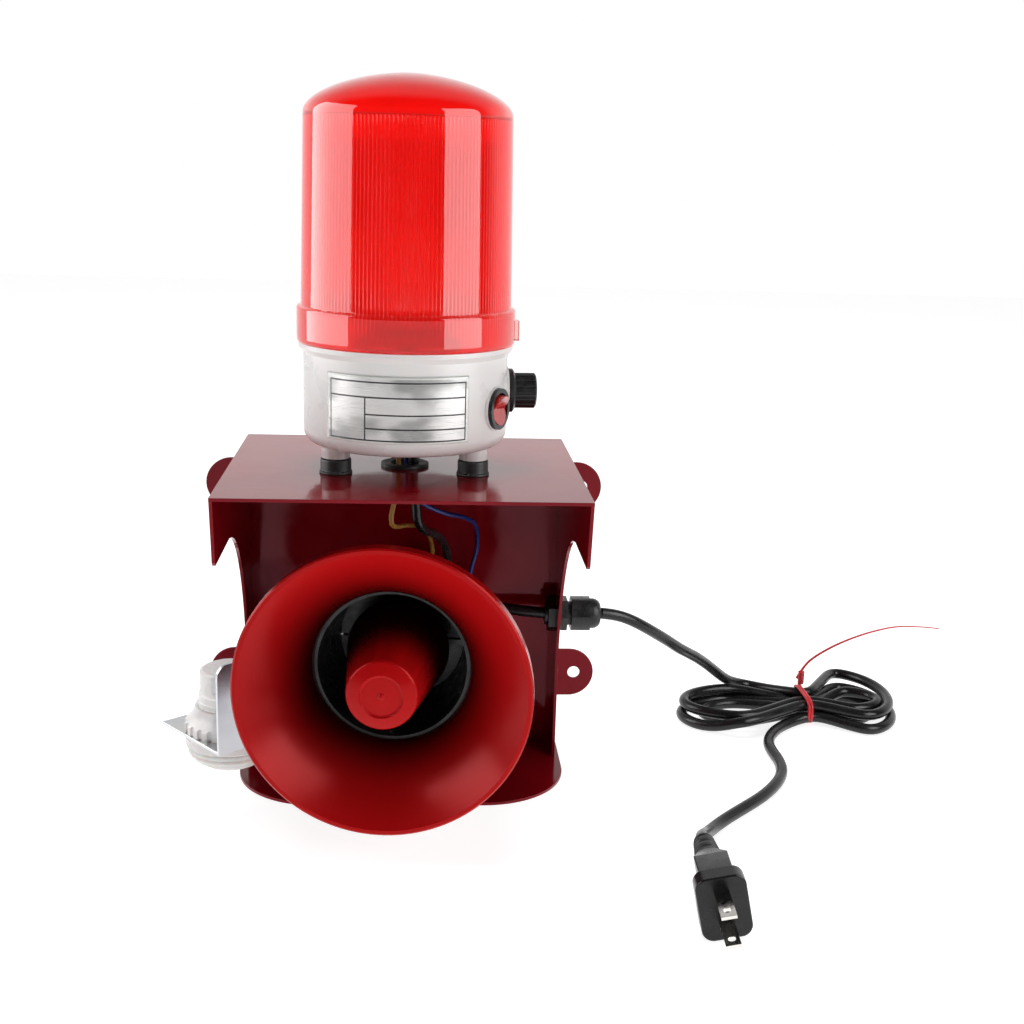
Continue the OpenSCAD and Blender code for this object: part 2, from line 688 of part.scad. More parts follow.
module driver_cover() {
  color(black_pa) at_horn() rotate_extrude() polygon([
    [0, mouth_f - 118], [26, mouth_f - 118], [32, mouth_f - 112], [32, mouth_f - 92.1],
    [27, mouth_f - 92.1], [27, mouth_f - 111], [24, mouth_f - 115.5], [0, mouth_f - 115.5]]);
}

module driver_magnet() {
  color("dimgray") at_horn() translate([0, 0, mouth_f - 115]) {
    cylinder(r = 22, h = 15);
    translate([0, 0, 15]) cylinder(r = 12, h = 8);
  }
}

module diaphragm() {
  color("tan") at_horn() translate([0, 0, mouth_f - 90]) rotate_extrude() polygon([
    [0, 4], [12, 2.4], [14, 1], [27, 1], [27, 2], [14.6, 2], [12.4, 3.4], [0, 5]]);
}

// ---- sensor ----------------------------------------------------------------------------

pivot_x = -80.6;
pivot_y = -31.5;
pivot_z = -59;
pivot_r = 3;
lug_t = 1.5;
lug_rivet_y = 15;
lug_rivet_z = [-70, -63.5];
lug_in = -half_w + sheet;
plate_x = 51;
plate_y = 49;
plate_margin = 5;
leg_h = 44;
bracket_t = 1.5;
sensor_x = 21.5;
sensor_y = -21.5;
sensor_hole_r = 15.7;
nut_grooves = 24;

module sensor_lug() {
  color(zinc) difference() {
    union() {
      translate([lug_in, -22, pivot_z - 16]) cube([lug_t, 17, 16]);
      translate([lug_in, -38, pivot_z - lug_t]) cube([8, 33, lug_t]);
      translate([pivot_x, -38, pivot_z - lug_t]) cube([lug_in - pivot_x + 1, 13, lug_t]);
      translate([pivot_x, pivot_y, pivot_z - lug_t]) cylinder(r = 7, h = lug_t);
    }
    translate([pivot_x, pivot_y, pivot_z - 3]) cylinder(r = pivot_r + 0.1, h = 5, $fn = 48);
    for (z = lug_rivet_z) translate([lug_in - 1, -lug_rivet_y, z]) rotate([0, 90, 0])
      cylinder(r = 2.1, h = 4, $fn = 32);
  }
}

module lug_rivets() {
  color(steel) for (z = lug_rivet_z) translate([-half_w, -lug_rivet_y, z]) rotate([0, 90, 0]) {
    cylinder(r = 2, h = sheet + lug_t, $fn = 32);
    translate([0, 0, -1.2]) cylinder(r1 = 2.4, r2 = 3.6, h = 1.2, $fn = 32);
    translate([0, 0, sheet + lug_t]) cylinder(r1 = 3, r2 = 2.2, h = 1.2, $fn = 32);
  }
}

module sensor_pivot_bolt() {
  color(steel) translate([pivot_x, pivot_y, pivot_z]) {
    translate([0, 0, -7.5]) cylinder(r = pivot_r, h = 11, $fn = 64);
    translate([0, 0, bracket_t + 0.6]) tube_ring(6, pivot_r + 0.02, 0.9);
    translate([0, 0, bracket_t + 1.5]) hex(9.5, 3.2);
    translate([0, 0, -lug_t - 4]) difference() {
      hex(9.5, 3.9);
      translate([0, 0, -1]) cylinder(r = pivot_r - 0.4, h = 6, $fn = 48);
    }
  }
}

module sensor_bracket() {
  leg_x = plate_x - plate_margin - bracket_t;
  low_y = plate_margin - plate_y;
  corner = 6;
  color(zinc) at_sensor() translate([0, 0, 0.3]) difference() {
    union() {
      translate([-plate_margin, low_y, 0]) cube([plate_x, plate_y, bracket_t]);
      translate([leg_x, low_y, 0]) cube([bracket_t, plate_y, leg_h - corner]);
      translate([leg_x, low_y + corner, leg_h - corner - 2])
        cube([bracket_t, plate_y - 2 * corner, corner + 2]);
      for (y = [low_y + corner, plate_margin - corner])
        translate([leg_x, y, leg_h - corner]) rotate([0, 90, 0]) cylinder(r = corner, h = bracket_t, $fn = 48);
    }
    translate([0, 0, -1]) cylinder(r = pivot_r + 0.08, h = 4, $fn = 64);
    translate([sensor_x, sensor_y, -1]) cylinder(r = sensor_hole_r, h = 4);
    for (y = [sensor_y - 11, sensor_y + 11]) translate([leg_x - 2, y, leg_h - 14]) rotate([0, 90, 0])
      cylinder(r = 2.6, h = 8, $fn = 32);
  }
}

module sensor_housing() {
  color(white_abs) at_sensor() translate([sensor_x, sensor_y, 0]) difference() {
    union() {
      rotate_extrude($fn = 96) polygon([
        [0, -5.2], [lens_dia / 2 - 0.5, -5.2], [lens_dia / 2, -4.6], [lens_dia / 2, -1], [lens_dia / 2 - 1, 0.25],
        [15.2, 0.25], [15.2, 20], [14.5, 21], [14.5, 31], [13, 32], [0, 32]]);
      for (z = [4:2.5:18]) translate([0, 0, z]) rotate_extrude($fn = 96)
        polygon([[15, -0.9], [15.6, -0.3], [15.6, 0.3], [15, 0.9]]);
    }
    translate([0, 0, -6]) cylinder(r = 13, h = 35);
    rotate([0, 0, 40]) translate([-5, -16, 23]) cube([10, 2.4, 10]);
  }
}

module sensor_nut() {
  color(white_abs) at_sensor() translate([sensor_x, sensor_y, bracket_t + 0.35]) difference() {
    rotate_extrude($fn = 96) polygon([
      [10, 0], [lens_dia / 2, 0], [lens_dia / 2, 4], [18.5, 8], [17, 12], [10, 12]]);
    for (i = [0:nut_grooves - 1]) rotate([0, 0, 360 * i / nut_grooves])
      translate([lens_dia / 2 + 0.3, 0, -1]) cylinder(r = 1.5, h = 6, $fn = 24);
    translate([0, 0, -1]) cylinder(r = 15.75, h = 14);
  }
}

module sensor_lens() {
  color([0.95, 0.95, 0.95, 0.8]) at_sensor() translate([sensor_x, sensor_y, -5.3]) rotate_extrude($fn = 96)
    polygon(concat(
      [[lens_dia / 2 - 3, 0], [lens_dia / 2 - 1, 0]],
      [for (a = [0:10:80]) [(lens_dia / 2 - 1) * cos(a), -1 - 12 * sin(a)]],
      [[0, -13], [0, -11.4]],
      [for (a = [80:-10:0]) [(lens_dia / 2 - 3) * cos(a), -1 - 10.4 * sin(a)]]));
}

module sensor_board() {
  color("darkgreen") at_sensor() translate([sensor_x, sensor_y, 0]) {
    translate([0, 0, 2]) cylinder(r = 12.6, h = 1.6);
    translate([0, 0, -4]) cylinder(r = 4.5, h = 6);
    translate([-4, -6, 3.6]) cube([8, 10, 9]);
  }
}

// ---- mains cord ------------------------------------------------------------------------

cord_z = -base_z + cord_dia / 2;
hank_low = -base_z + 2.2;
hank_h = 12;
tie_x = 230;
plug_yaw = -3;
plug_lean = -12;
plug_w = 21;
plug_h = 28;
plug_front = [131, -206, -base_z + 15.1];
plug_len = 40;
strain_len = 18;
face_t = 9;
blade_gap = 12.7;

// Free stretch from the gland to the hank, and from the hank to the plug
lead_path = [[103, -13, -14], [112, -12, -15], [122, -9, -20], [132, -3, -27], [142, 6, -35],
  [152, 17, -44], [162, 29, -52], [172, 41, -61], [182, 52, -71], [192, 62, -80], [203, 69, -85]];
tail_path = [[199, 12, -86], [198, 2, -87], [197, -10, -88], [197, -23, -88], [198, -35, -88],
  [196, -48, -88], [190, -61, -88], [181, -74, -88], [170, -86, -88], [159, -97, -88],
  [149, -108, -88], [142, -120, -86], [137, -132, -81], [134.5, -141, -77.5], [134, -148, -76]];
tie_tail_path = [[229, 52, -74], [231, 52, -70], [236, 52, -63], [246, 52, -56], [258, 52, -50],
  [272, 52, -45], [286, 52, -42], [300, 52, -42], [311, 52, -43]];

module cord_lead() {
  color(rubber_black) tube(smooth(lead_path, 2), cord_dia / 2, 10);
}

module cord_tail() {
  color(rubber_black) tube(smooth(tail_path, 2), cord_dia / 2, 10);
}

module cord_hank() {
  color(rubber_black) translate([0, 0, hank_low]) union() {
    translate([191, 37, 0]) cylinder(r = 33, h = hank_h);
    linear_extrude(hank_h)
      polygon([[191, 69], [226, 50], [234, 50], [250, 90], [255, 6], [234, 22], [226, 22], [191, 5]]);
    translate([254, 36, 0]) cylinder(r = 32, h = hank_h);
    translate([250, 62, 0]) cylinder(r = 31, h = hank_h);
  }
}

module cord_tie() {
  color("red") union() {
    translate([tie_x - 2, 0, 0]) difference() {
      translate([0, 19.5, hank_low - 1.8]) cube([4, 33, hank_h + 3.6]);
      translate([-1, 21.2, hank_low - 0.3]) cube([6, 29.6, hank_h + 0.6]);
    }
    tube(smooth(tie_tail_path, 2), 1, 8);
  }
}

module at_plug() {
  translate(plug_front) rotate([0, 0, plug_yaw]) rotate([0, plug_lean, 0]) children();
}

module plug_strain_relief() {
  color(rubber_black) at_plug() translate([0, plug_len, 0]) rotate([-90, 0, 0]) difference() {
    cylinder(r1 = 6, r2 = 4.5, h = strain_len);
    for (i = [0:3]) translate([0, 0, 3 + 3.8 * i]) difference() {
      cylinder(r = 8, h = 1.4);
      translate([0, 0, -1]) cylinder(r = 3.8, h = 4);
    }
  }
}

module plug_body() {
  corner = 5;
  color(rubber_black) at_plug() {
    rotate([-90, 0, 0]) linear_extrude(face_t) union() {
      square([plug_w - 2 * corner, plug_h], center = true);
      square([plug_w, plug_h - 2 * corner], center = true);
      for (x = [-1, 1]) for (z = [-1, 1])
        translate([x * (plug_w / 2 - corner), z * (plug_h / 2 - corner)]) circle(r = corner, $fn = 32);
    }
    translate([0, face_t, 0]) rotate([-90, 0, 0]) hull() {
      linear_extrude(plug_len - face_t - 12) square([14.5, 20], center = true);
      translate([0, 0, plug_len - face_t - 1]) cylinder(r = 6.5, h = 1, $fn = 32);
    }
  }
}

module plug_pins() {
  color("silver") at_plug() for (z = [-1, 1]) translate([-3.15, -18, z * blade_gap / 2 - 0.75])
    difference() {
      cube([6.3, 18, 1.5]);
      translate([3.15, 4.5, -1]) cylinder(r = 1.6, h = 4, $fn = 24);
    }
}

housing_shell();
back_plate();
earth_screw();
roof_grommet();
foot_sleeves();
beacon_screws();
beacon_base();
name_plate();
switch_body();
potentiometer();
circuit_board();
chassis_plate();
motor();
motor_shaft();
gear_post();
lamp_holder();
led_lamp();
sound_module();
terminal_block();
gland_body();
gland_nut();
gland_seal();
gland_locknut();
inner_cable();
beacon_cable();
wire_tan();
wire_blue();
yoke_bolt();
sensor_lug();
lug_rivets();
sensor_pivot_bolt();
cord_lead();
cord_hank();
cord_tail();
cord_tie();
plug_strain_relief();
plug_body();
plug_pins();
dome();
turntable_gear();
reflector();
motor_pinion();
switch_rocker();
volume_knob();
pot_shaft();
horn_yoke();
tilt_bolts();
horn_bell();
throat_insert();
horn_bullet();
driver_cover();
driver_magnet();
diaphragm();
bell_screws();
sensor_bracket();
sensor_housing();
sensor_nut();
sensor_lens();
sensor_board();
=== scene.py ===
import itertools
import math

import bmesh
import bpy
from mathutils import Matrix, Vector


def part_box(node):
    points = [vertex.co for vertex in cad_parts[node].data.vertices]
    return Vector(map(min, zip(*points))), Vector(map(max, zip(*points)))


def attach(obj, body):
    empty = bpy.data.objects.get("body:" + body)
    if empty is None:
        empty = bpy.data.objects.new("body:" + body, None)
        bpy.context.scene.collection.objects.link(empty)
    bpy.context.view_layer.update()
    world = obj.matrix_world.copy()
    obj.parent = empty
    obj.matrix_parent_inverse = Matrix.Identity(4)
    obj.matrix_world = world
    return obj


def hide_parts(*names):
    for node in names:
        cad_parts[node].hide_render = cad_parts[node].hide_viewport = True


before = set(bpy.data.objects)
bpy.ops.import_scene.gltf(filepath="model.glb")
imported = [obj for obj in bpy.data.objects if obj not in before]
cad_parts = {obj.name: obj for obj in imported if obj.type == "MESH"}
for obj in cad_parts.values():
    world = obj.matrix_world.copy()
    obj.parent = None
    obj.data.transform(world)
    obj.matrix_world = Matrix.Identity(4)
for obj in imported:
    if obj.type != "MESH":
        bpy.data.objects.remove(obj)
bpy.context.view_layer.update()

MM = 0.001


def mm(*values):
    """A point given in millimetres, in metres."""
    return Vector(values) * MM


# ---- places taken from the frame ---------------------------------------------------------

FLOOR_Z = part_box("housing_shell")[0].z
ROOF_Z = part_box("foot_sleeves")[0].z
BASE_LOW, BASE_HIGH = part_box("chassis_plate")
BEACON = (BASE_LOW + BASE_HIGH) / 2
BEACON.z = ROOF_Z
LENS_LOW, LENS_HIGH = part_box("sensor_lens")
LENS = (LENS_LOW + LENS_HIGH) / 2


# ---- camera ------------------------------------------------------------------------------

def add_camera():
    """The camera stands in front of the siren, a little above it, and is turned slightly to the right."""
    yaw, down, roll = (math.radians(angle) for angle in (4.142, 13.78, 1.68))
    forward = Vector((math.sin(yaw) * math.cos(down), math.cos(yaw) * math.cos(down), -math.sin(down)))
    level = Vector((math.cos(yaw), -math.sin(yaw), 0))
    upward = level.cross(forward)
    across = level * math.cos(roll) + upward * math.sin(roll)
    top = upward * math.cos(roll) - level * math.sin(roll)
    data = bpy.data.cameras.new("camera")
    data.sensor_width = 36
    data.lens = 49.4
    data.clip_start = 0.02
    data.clip_end = 40
    camera = bpy.data.objects.new("camera", data)
    bpy.context.scene.collection.objects.link(camera)
    camera.matrix_world = Matrix.Translation(mm(4.1, -710, 211.4)) @ Matrix(
        (across, top, -forward)).transposed().to_4x4()
    bpy.context.scene.camera = camera


# ---- curves ------------------------------------------------------------------------------

def smooth_line(points, step=3.0):
    """A smooth line through the points, as points about step apart."""
    ends = [points[0]] + list(points) + [points[-1]]
    line = []
    for before, start, end, after in zip(ends, ends[1:], ends[2:], ends[3:]):
        count = max(2, round((end - start).length / step))
        for i in range(count):
            t = i / count
            line.append(0.5 * (2 * start + (end - before) * t
                               + (2 * before - 5 * start + 4 * end - after) * t * t
                               + (3 * start - before - 3 * end + after) * t ** 3))
    line.append(points[-1].copy())
    return line


def relaxed(line, rounds):
    """The line with its sharpest bends eased, as a stiff cord does by itself."""
    for _ in range(rounds):
        inner = [(a + 2 * b + c) / 4 for a, b, c in zip(line, line[1:], line[2:])]
        line = [line[0]] + inner + [line[-1]]
    return line


def curve_piece(name, line, radius, material, roundness=5, taper=None):
    """A round tube of one open spline along the line, which is in millimetres."""
    data = bpy.data.curves.new(name, "CURVE")
    data.dimensions = "3D"
    data.bevel_depth = radius * MM
    data.bevel_resolution = roundness
    data.use_fill_caps = True
    spline = data.splines.new("POLY")
    spline.points.add(len(line) - 1)
    for i, (place, point) in enumerate(zip(spline.points, line)):
        place.co = (*(point * MM), 1)
        place.radius = taper(i / (len(line) - 1)) if taper else 1
    spline.use_smooth = True
    piece = bpy.data.objects.new(name, data)
    bpy.context.scene.collection.objects.link(piece)
    data.materials.append(material)
    return piece


# ---- the mains cord ------------------------------------------------------------------------

CORD_R = 3.0
CORD_EASING = 8
CORD_FLOOR = FLOOR_Z / MM + CORD_R
TIE_X, TIE_Y = 230, 36
TIE_LIFT = 1.9
TIE_LAYER = 5.4
LEAD = [(103, -13, -14), (112, -12, -15), (122, -9, -20), (132, -3, -27), (142, 6, -35), (152, 17, -44),
        (162, 29, -52), (172, 41, -61), (182, 52, -71), (192, 62, -80), (203, 68, -84), (213, 61, -84),
        (222, 52, -82)]
TAIL = [(223, 21.5, -87), (215, 17, -88), (208, 10, -88), (202, 1, -88), (198, -8, -88),
        (197, -18, -88), (198, -35, -88), (196, -48, -88), (190, -61, -88), (181, -74, -88),
        (170, -86, -88), (159, -97, -88), (149, -108, -88), (142, -120, -86), (137, -132, -81),
        (134.5, -141, -77.5), (134, -148, -76), (133.8, -152, -76)]
# Strands through the tie: place across the bundle and layer, in the order in which the cord passes
STRANDS = [(9.3, 1), (-9.3, 1), (6.2, 0), (-6.2, 0), (0, 0), (-3.1, 1), (12.4, 0), (-12.4, 0)]
# Loops between them: side, reach from the tie, half length, half width, middle, layer
LOOPS = [(1, 51, 25, 35, 48, 1), (-1, 73, 38, 25, 30, 0), (1, 40, 19, 19, 41, 0), (-1, 60, 26, 14, 34, 0),
         (1, 43, 20, 14, 38, 1), (-1, 71, 36, 22, 34, 1), (1, 51, 25, 34, 41, 0)]
TIE_RUN = 5
LOOP_POINTS = 14
LOOP_OPENING = math.radians(84)
LOOP_LIFT = 0.1
LOOP_LAYER = 6
# The loop that climbs over the lead, and where its climb starts, how long it is and how high
HUMP_LOOP = 1
HUMP_X, HUMP_RUN, HUMP_RISE = 172, 14, 6


def strand(number):
    """The middle of one strand where it passes through the tie."""
    across, layer = STRANDS[number]
    return Vector((TIE_X, TIE_Y + across, CORD_FLOOR + TIE_LIFT + TIE_LAYER * layer))


def loop_points(number):
    """One lobe of the hank: out of the tie and round an open ellipse, which leads back into the tie."""
    side, reach, half_length, half_width, middle, layer = LOOPS[number]
    run = Vector((side * TIE_RUN, 0, 0))
    points = [strand(number), strand(number) + run]
    for i in range(LOOP_POINTS + 1):
        angle = LOOP_OPENING * (1 - 2 * i / LOOP_POINTS)
        x = TIE_X + side * (reach - half_length + half_length * math.cos(angle))
        y = middle + side * half_width * math.sin(angle)
        z = CORD_FLOOR + LOOP_LIFT + LOOP_LAYER * layer
        if number == HUMP_LOOP and i < LOOP_POINTS / 2:
            z += HUMP_RISE * min(1, max(0, (x - HUMP_X) / HUMP_RUN))
        points.append(Vector((x, y, z)))
    return points + [strand(number + 1) + run]


def cord_line():
    """The cord's whole route: lead, strands and loops by turns, and tail."""
    points = [Vector(point) for point in LEAD]
    for number in range(len(LOOPS)):
        points += loop_points(number)
    points.append(strand(len(LOOPS)))
    points += [Vector(point) for point in TAIL]
    return relaxed(smooth_line(points), CORD_EASING)


# ---- finishes ------------------------------------------------------------------------------

class Finish:
    """A material under construction, with short calls for the nodes that the finishes share."""

    def __init__(self, name, color, roughness, settings=None):
        self.material = bpy.data.materials.new(name)
        self.material.use_nodes = True
        self.tree = self.material.node_tree
        self.shader = self.tree.nodes["Principled BSDF"]
        self.place = self.tree.nodes.new("ShaderNodeTexCoord").outputs["Object"]
        self.color = color
        self.normal = None
        self.shader.inputs["Base Color"].default_value = (*color, 1)
        self.shader.inputs["Roughness"].default_value = roughness
        for socket, value in (settings or {}).items():
            self.shader.inputs[socket].default_value = value

    def node(self, kind, **inputs):
        node = self.tree.nodes.new(kind)
        for socket, value in inputs.items():
            node.inputs[socket.replace("_", " ")].default_value = value
        return node

    def stretched(self, stretch):
        mapping = self.node("ShaderNodeMapping", Scale=stretch)
        self.tree.links.new(self.place, mapping.inputs["Vector"])
        return mapping.outputs["Vector"]

    def noise(self, scale, detail, stretch=(1, 1, 1)):
        noise = self.node("ShaderNodeTexNoise", Scale=scale, Detail=detail)
        self.tree.links.new(self.stretched(stretch), noise.inputs["Vector"])
        return noise.outputs[0]

    def cells(self, scale, feature="F1"):
        cells = self.node("ShaderNodeTexVoronoi", Scale=scale)
        cells.feature = feature
        self.tree.links.new(self.place, cells.inputs["Vector"])
        return cells.outputs["Distance"]

    def along(self, axis):
        """The place along one of the object's own axes, in metres."""
        parts = self.node("ShaderNodeSeparateXYZ")
        self.tree.links.new(self.place, parts.inputs["Vector"])
        return parts.outputs[axis]

    def between(self, pattern, low, high, start, end):
        """Goes softly from low to high while the pattern goes from start to end."""
        spread = self.node("ShaderNodeMapRange")
        spread.interpolation_type = "SMOOTHSTEP"
        for socket, value in (("From Min", start), ("From Max", end), ("To Min", low), ("To Max", high)):
            spread.inputs[socket].default_value = value
        self.tree.links.new(pattern, spread.inputs["Value"])
        return spread.outputs["Result"]

    def tint(self, pattern, first, second, start=0.3, end=0.7):
        """The base colour goes from first to second as the pattern rises."""
        ramp = self.tree.nodes.new("ShaderNodeValToRGB")
        ramp.color_ramp.elements[0].color = (*first, 1)
        ramp.color_ramp.elements[1].color = (*second, 1)
        self.tree.links.new(self.between(pattern, 0, 1, start, end), ramp.inputs["Fac"])
        self.tree.links.new(ramp.outputs["Color"], self.shader.inputs["Base Color"])

    def shade(self, pattern, spread):
        """The base colour varies round the finish's own by that share."""
        darker = [value * (1 - spread) for value in self.color]
        lighter = [min(1, value * (1 + spread)) for value in self.color]
        self.tint(pattern, darker, lighter)

    def gloss(self, pattern, low, high, start=0.3, end=0.7):
        """The roughness goes from low to high as the pattern rises."""
        self.tree.links.new(self.between(pattern, low, high, start, end), self.shader.inputs["Roughness"])

    def bump(self, pattern, height, strength=1.0):
        """A relief of that height in metres, on top of those added before."""
        bump = self.node("ShaderNodeBump", Strength=strength, Distance=height)
        self.tree.links.new(pattern, bump.inputs["Height"])
        if self.normal:
            self.tree.links.new(self.normal, bump.inputs["Normal"])
        self.normal = bump.outputs["Normal"]
        self.tree.links.new(self.normal, self.shader.inputs["Normal"])


def bracket_paint():
    """Thick dark red enamel with a little orange peel, dust under the gloss and fine rub marks."""
    paint = Finish("dark_red_enamel", (0.2, 0.0024, 0.007), 0.08, {"Specular Tint": (0.7, 0.3, 0.35, 1)})
    paint.shade(paint.noise(22, 4), 0.12)
    paint.gloss(paint.noise(60, 5), 0.07, 0.16)
    paint.bump(paint.noise(240, 2), 0.00005, 0.5)
    paint.bump(paint.between(paint.cells(420), 1, 0, 0.0, 0.1), 0.00006, 0.35)
    return paint.material


def horn_plastic():
    """Glossy red moulding with faint flow marks and a soft fine grain. Painted shade darkens its colour
    towards the throat.
    """
    plastic = Finish("horn_red", (0.42, 0.005, 0.006), 0.24, {
        "Specular IOR Level": 0.4, "Specular Tint": (1, 0.2, 0.2, 1)})
    # Painted shade: along the part's own Y the base colour goes from the mouth's red to near black at the
    # throat, standing in for the shade deep inside the horn.
    mouth_y, throat_y = -0.138, -0.099
    plastic.tint(plastic.along("Y"), (0.46, 0.005, 0.006), (0.03, 0.0006, 0.0009), mouth_y, throat_y)
    plastic.gloss(plastic.noise(45, 4, (1, 0.3, 1)), 0.19, 0.27, 0.2, 0.8)
    plastic.bump(plastic.noise(900, 3), 0.00003, 0.5)
    plastic.bump(plastic.noise(40, 0), 0.0002, 0.15)
    return plastic.material


def dome_clear():
    """The polished outside of the dome, clear red."""
    clear = Finish("dome_clear_red", (1.0, 0.5, 0.47), 0.02, {
        "Transmission Weight": 1.0, "IOR": 1.49, "Specular IOR Level": 0.3})
    clear.shade(clear.noise(30, 2), 0.03)
    clear.gloss(clear.noise(70, 4), 0.01, 0.05)
    clear.bump(clear.noise(45, 1), 0.0001, 0.2)
    return clear.material


def dome_deep():
    """The fluted inside of the dome, which scatters the light and gives it its full red, with a faint painted
    red glow that brightens it though the lamp is off.
    """
    # Painted light: the red emission makes the dome glow a little, brightening it though it is no lamp.
    deep = Finish("dome_deep_red", (0.98, 0.012, 0.008), 0.16, {
        "Transmission Weight": 0.6, "IOR": 1.49, "Specular IOR Level": 0.25,
        "Emission Color": (1.0, 0.012, 0.008, 1), "Emission Strength": 0.21})
    deep.shade(deep.noise(40, 3, (1, 1, 0.15)), 0.08)
    deep.gloss(deep.noise(90, 3, (1, 1, 0.2)), 0.12, 0.24)
    deep.bump(deep.noise(260, 2, (1, 1, 0.1)), 0.00005, 0.4)
    return deep.material


def white_plastic():
    """Warm white moulding, satin. The warm white is the moulding's own; the trace of pink in it is painted
    light from the red above it.
    """
    # Painted light: the slight pink in the base colour and in both tint ends stands in for red light cast
    # from above.
    white = Finish("base_white", (0.8, 0.77, 0.76), 0.3, {
        "Subsurface Weight": 0.12, "Subsurface Scale": 0.002})
    white.tint(white.noise(14, 3), (0.76, 0.73, 0.72), (0.83, 0.81, 0.8))
    white.gloss(white.noise(70, 4), 0.24, 0.38)
    white.bump(white.noise(1100, 2), 0.00002, 0.5)
    return white.material


def lens_plastic():
    """Milky plastic of the motion sensor's lens."""
    milk = Finish("lens_milky", (0.78, 0.76, 0.74), 0.35, {
        "Subsurface Weight": 0.5, "Subsurface Scale": 0.004, "Transmission Weight": 0.15})
    milk.shade(milk.noise(60, 3), 0.05)
    milk.gloss(milk.noise(140, 3), 0.28, 0.42)
    milk.bump(milk.noise(900, 2), 0.00002, 0.5)
    return milk.material


def plate_silver():
    """Brushed foil of the rating plate, with a painted cloudy sheen: light and dark patches in its colour
    stand in for the reflections of a bent sheet.
    """
    foil = Finish("plate_foil", (0.62, 0.62, 0.61), 0.34, {"Metallic": 0.3})
    # Painted sheen: the base colour goes from dark to light in soft patches, standing in for reflections on
    # the bent foil.
    foil.tint(foil.noise(48, 2, (1, 1, 1.8)), (0.34, 0.34, 0.335), (0.7, 0.69, 0.68), 0.34, 0.6)
    foil.gloss(foil.noise(900, 2, (0.05, 0.05, 1)), 0.24, 0.42)
    foil.bump(foil.noise(2400, 2, (0.03, 0.03, 1)), 0.00002, 0.5)
    return foil.material


def plate_border():
    """White lacquer round the rating plate."""
    border = Finish("plate_border", (0.83, 0.84, 0.8), 0.28, {"Coat Weight": 0.3})
    border.shade(border.noise(90, 3), 0.04)
    border.gloss(border.noise(200, 3), 0.22, 0.36)
    border.bump(border.noise(1600, 2), 0.00001, 0.5)
    return border.material


def plate_ink():
    """Printed black lines of the rating plate, worn thin here and there."""
    ink = Finish("plate_ink", (0.035, 0.03, 0.032), 0.35)
    ink.tint(ink.noise(420, 4), (0.008, 0.007, 0.0075), (0.12, 0.11, 0.11), 0.6, 0.85)
    ink.gloss(ink.noise(300, 2), 0.3, 0.45)
    ink.bump(ink.noise(1500, 2), 0.00001, 0.5)
    return ink.material


def black_plastic():
    """Black nylon and ABS: knob, gland, switch frame."""
    black = Finish("black_nylon", (0.012, 0.012, 0.013), 0.3, {"Specular IOR Level": 0.4})
    black.shade(black.noise(120, 3), 0.3)
    black.gloss(black.noise(160, 4), 0.24, 0.42)
    black.bump(black.noise(1400, 3), 0.00002, 0.6)
    return black.material


def black_rubber():
    """Matt black rubber of the feet, grommet, seals and plug."""
    rubber = Finish("black_rubber", (0.014, 0.014, 0.0145), 0.52)
    rubber.shade(rubber.noise(90, 4), 0.3)
    rubber.gloss(rubber.noise(140, 4), 0.42, 0.62)
    rubber.bump(rubber.noise(1300, 4), 0.00004, 0.6)
    return rubber.material


def cable_black():
    """Smooth PVC of the mains cord, with the long ripple that the cores leave."""
    cable = Finish("cord_pvc", (0.009, 0.009, 0.0095), 0.26, {"Specular IOR Level": 0.36})
    cable.shade(cable.noise(60, 3), 0.25)
    cable.gloss(cable.noise(130, 4), 0.2, 0.34)
    cable.bump(cable.noise(160, 2), 0.00012, 0.35)
    cable.bump(cable.noise(1500, 2), 0.00002, 0.5)
    return cable.material


def wire_finish(name, color):
    """Coloured PVC of a thin wire."""
    wire = Finish(name, color, 0.32)
    wire.shade(wire.noise(120, 2), 0.12)
    wire.gloss(wire.noise(220, 2), 0.26, 0.4)
    wire.bump(wire.noise(1200, 2), 0.00002, 0.5)
    return wire.material


def plated(name, color, grain, haze):
    """Plated metal: drawn lines along the sheet and a cloudy film."""
    metal = Finish(name, color, grain, {"Metallic": 1.0})
    metal.shade(metal.noise(70, 4), haze)
    metal.gloss(metal.noise(600, 3, (1, 1, 0.08)), grain - 0.06, grain + 0.1)
    metal.bump(metal.noise(1800, 2, (1, 1, 0.06)), 0.00001, 0.5)
    return metal.material


def zinc():
    """Blue-white passivated zinc with a faint warm bloom."""
    metal = Finish("zinc_plate", (0.6, 0.63, 0.68), 0.22, {"Metallic": 1.0})
    metal.tint(metal.noise(28, 2), (0.55, 0.6, 0.67), (0.66, 0.65, 0.63), 0.2, 0.8)
    metal.gloss(metal.noise(120, 3), 0.2, 0.28, 0.2, 0.8)
    metal.bump(metal.cells(900), 0.00001, 0.4)
    return metal.material


def brass():
    """Bright brass with light tarnish."""
    metal = Finish("brass", (0.68, 0.47, 0.2), 0.25, {"Metallic": 1.0})
    metal.tint(metal.noise(110, 4), (0.46, 0.29, 0.11), (0.76, 0.55, 0.26))
    metal.gloss(metal.noise(300, 3), 0.18, 0.38)
    metal.bump(metal.noise(1500, 2), 0.00001, 0.5)
    return metal.material


def board_green():
    """Solder mask over copper tracks."""
    board = Finish("circuit_board", (0.01, 0.09, 0.03), 0.3, {"Coat Weight": 0.4})
    tracks = board.cells(160, "DISTANCE_TO_EDGE")
    board.tint(tracks, (0.03, 0.17, 0.06), (0.008, 0.075, 0.026), 0.02, 0.08)
    board.gloss(board.noise(200, 3), 0.25, 0.4)
    board.bump(tracks, 0.00003, 0.5)
    return board.material


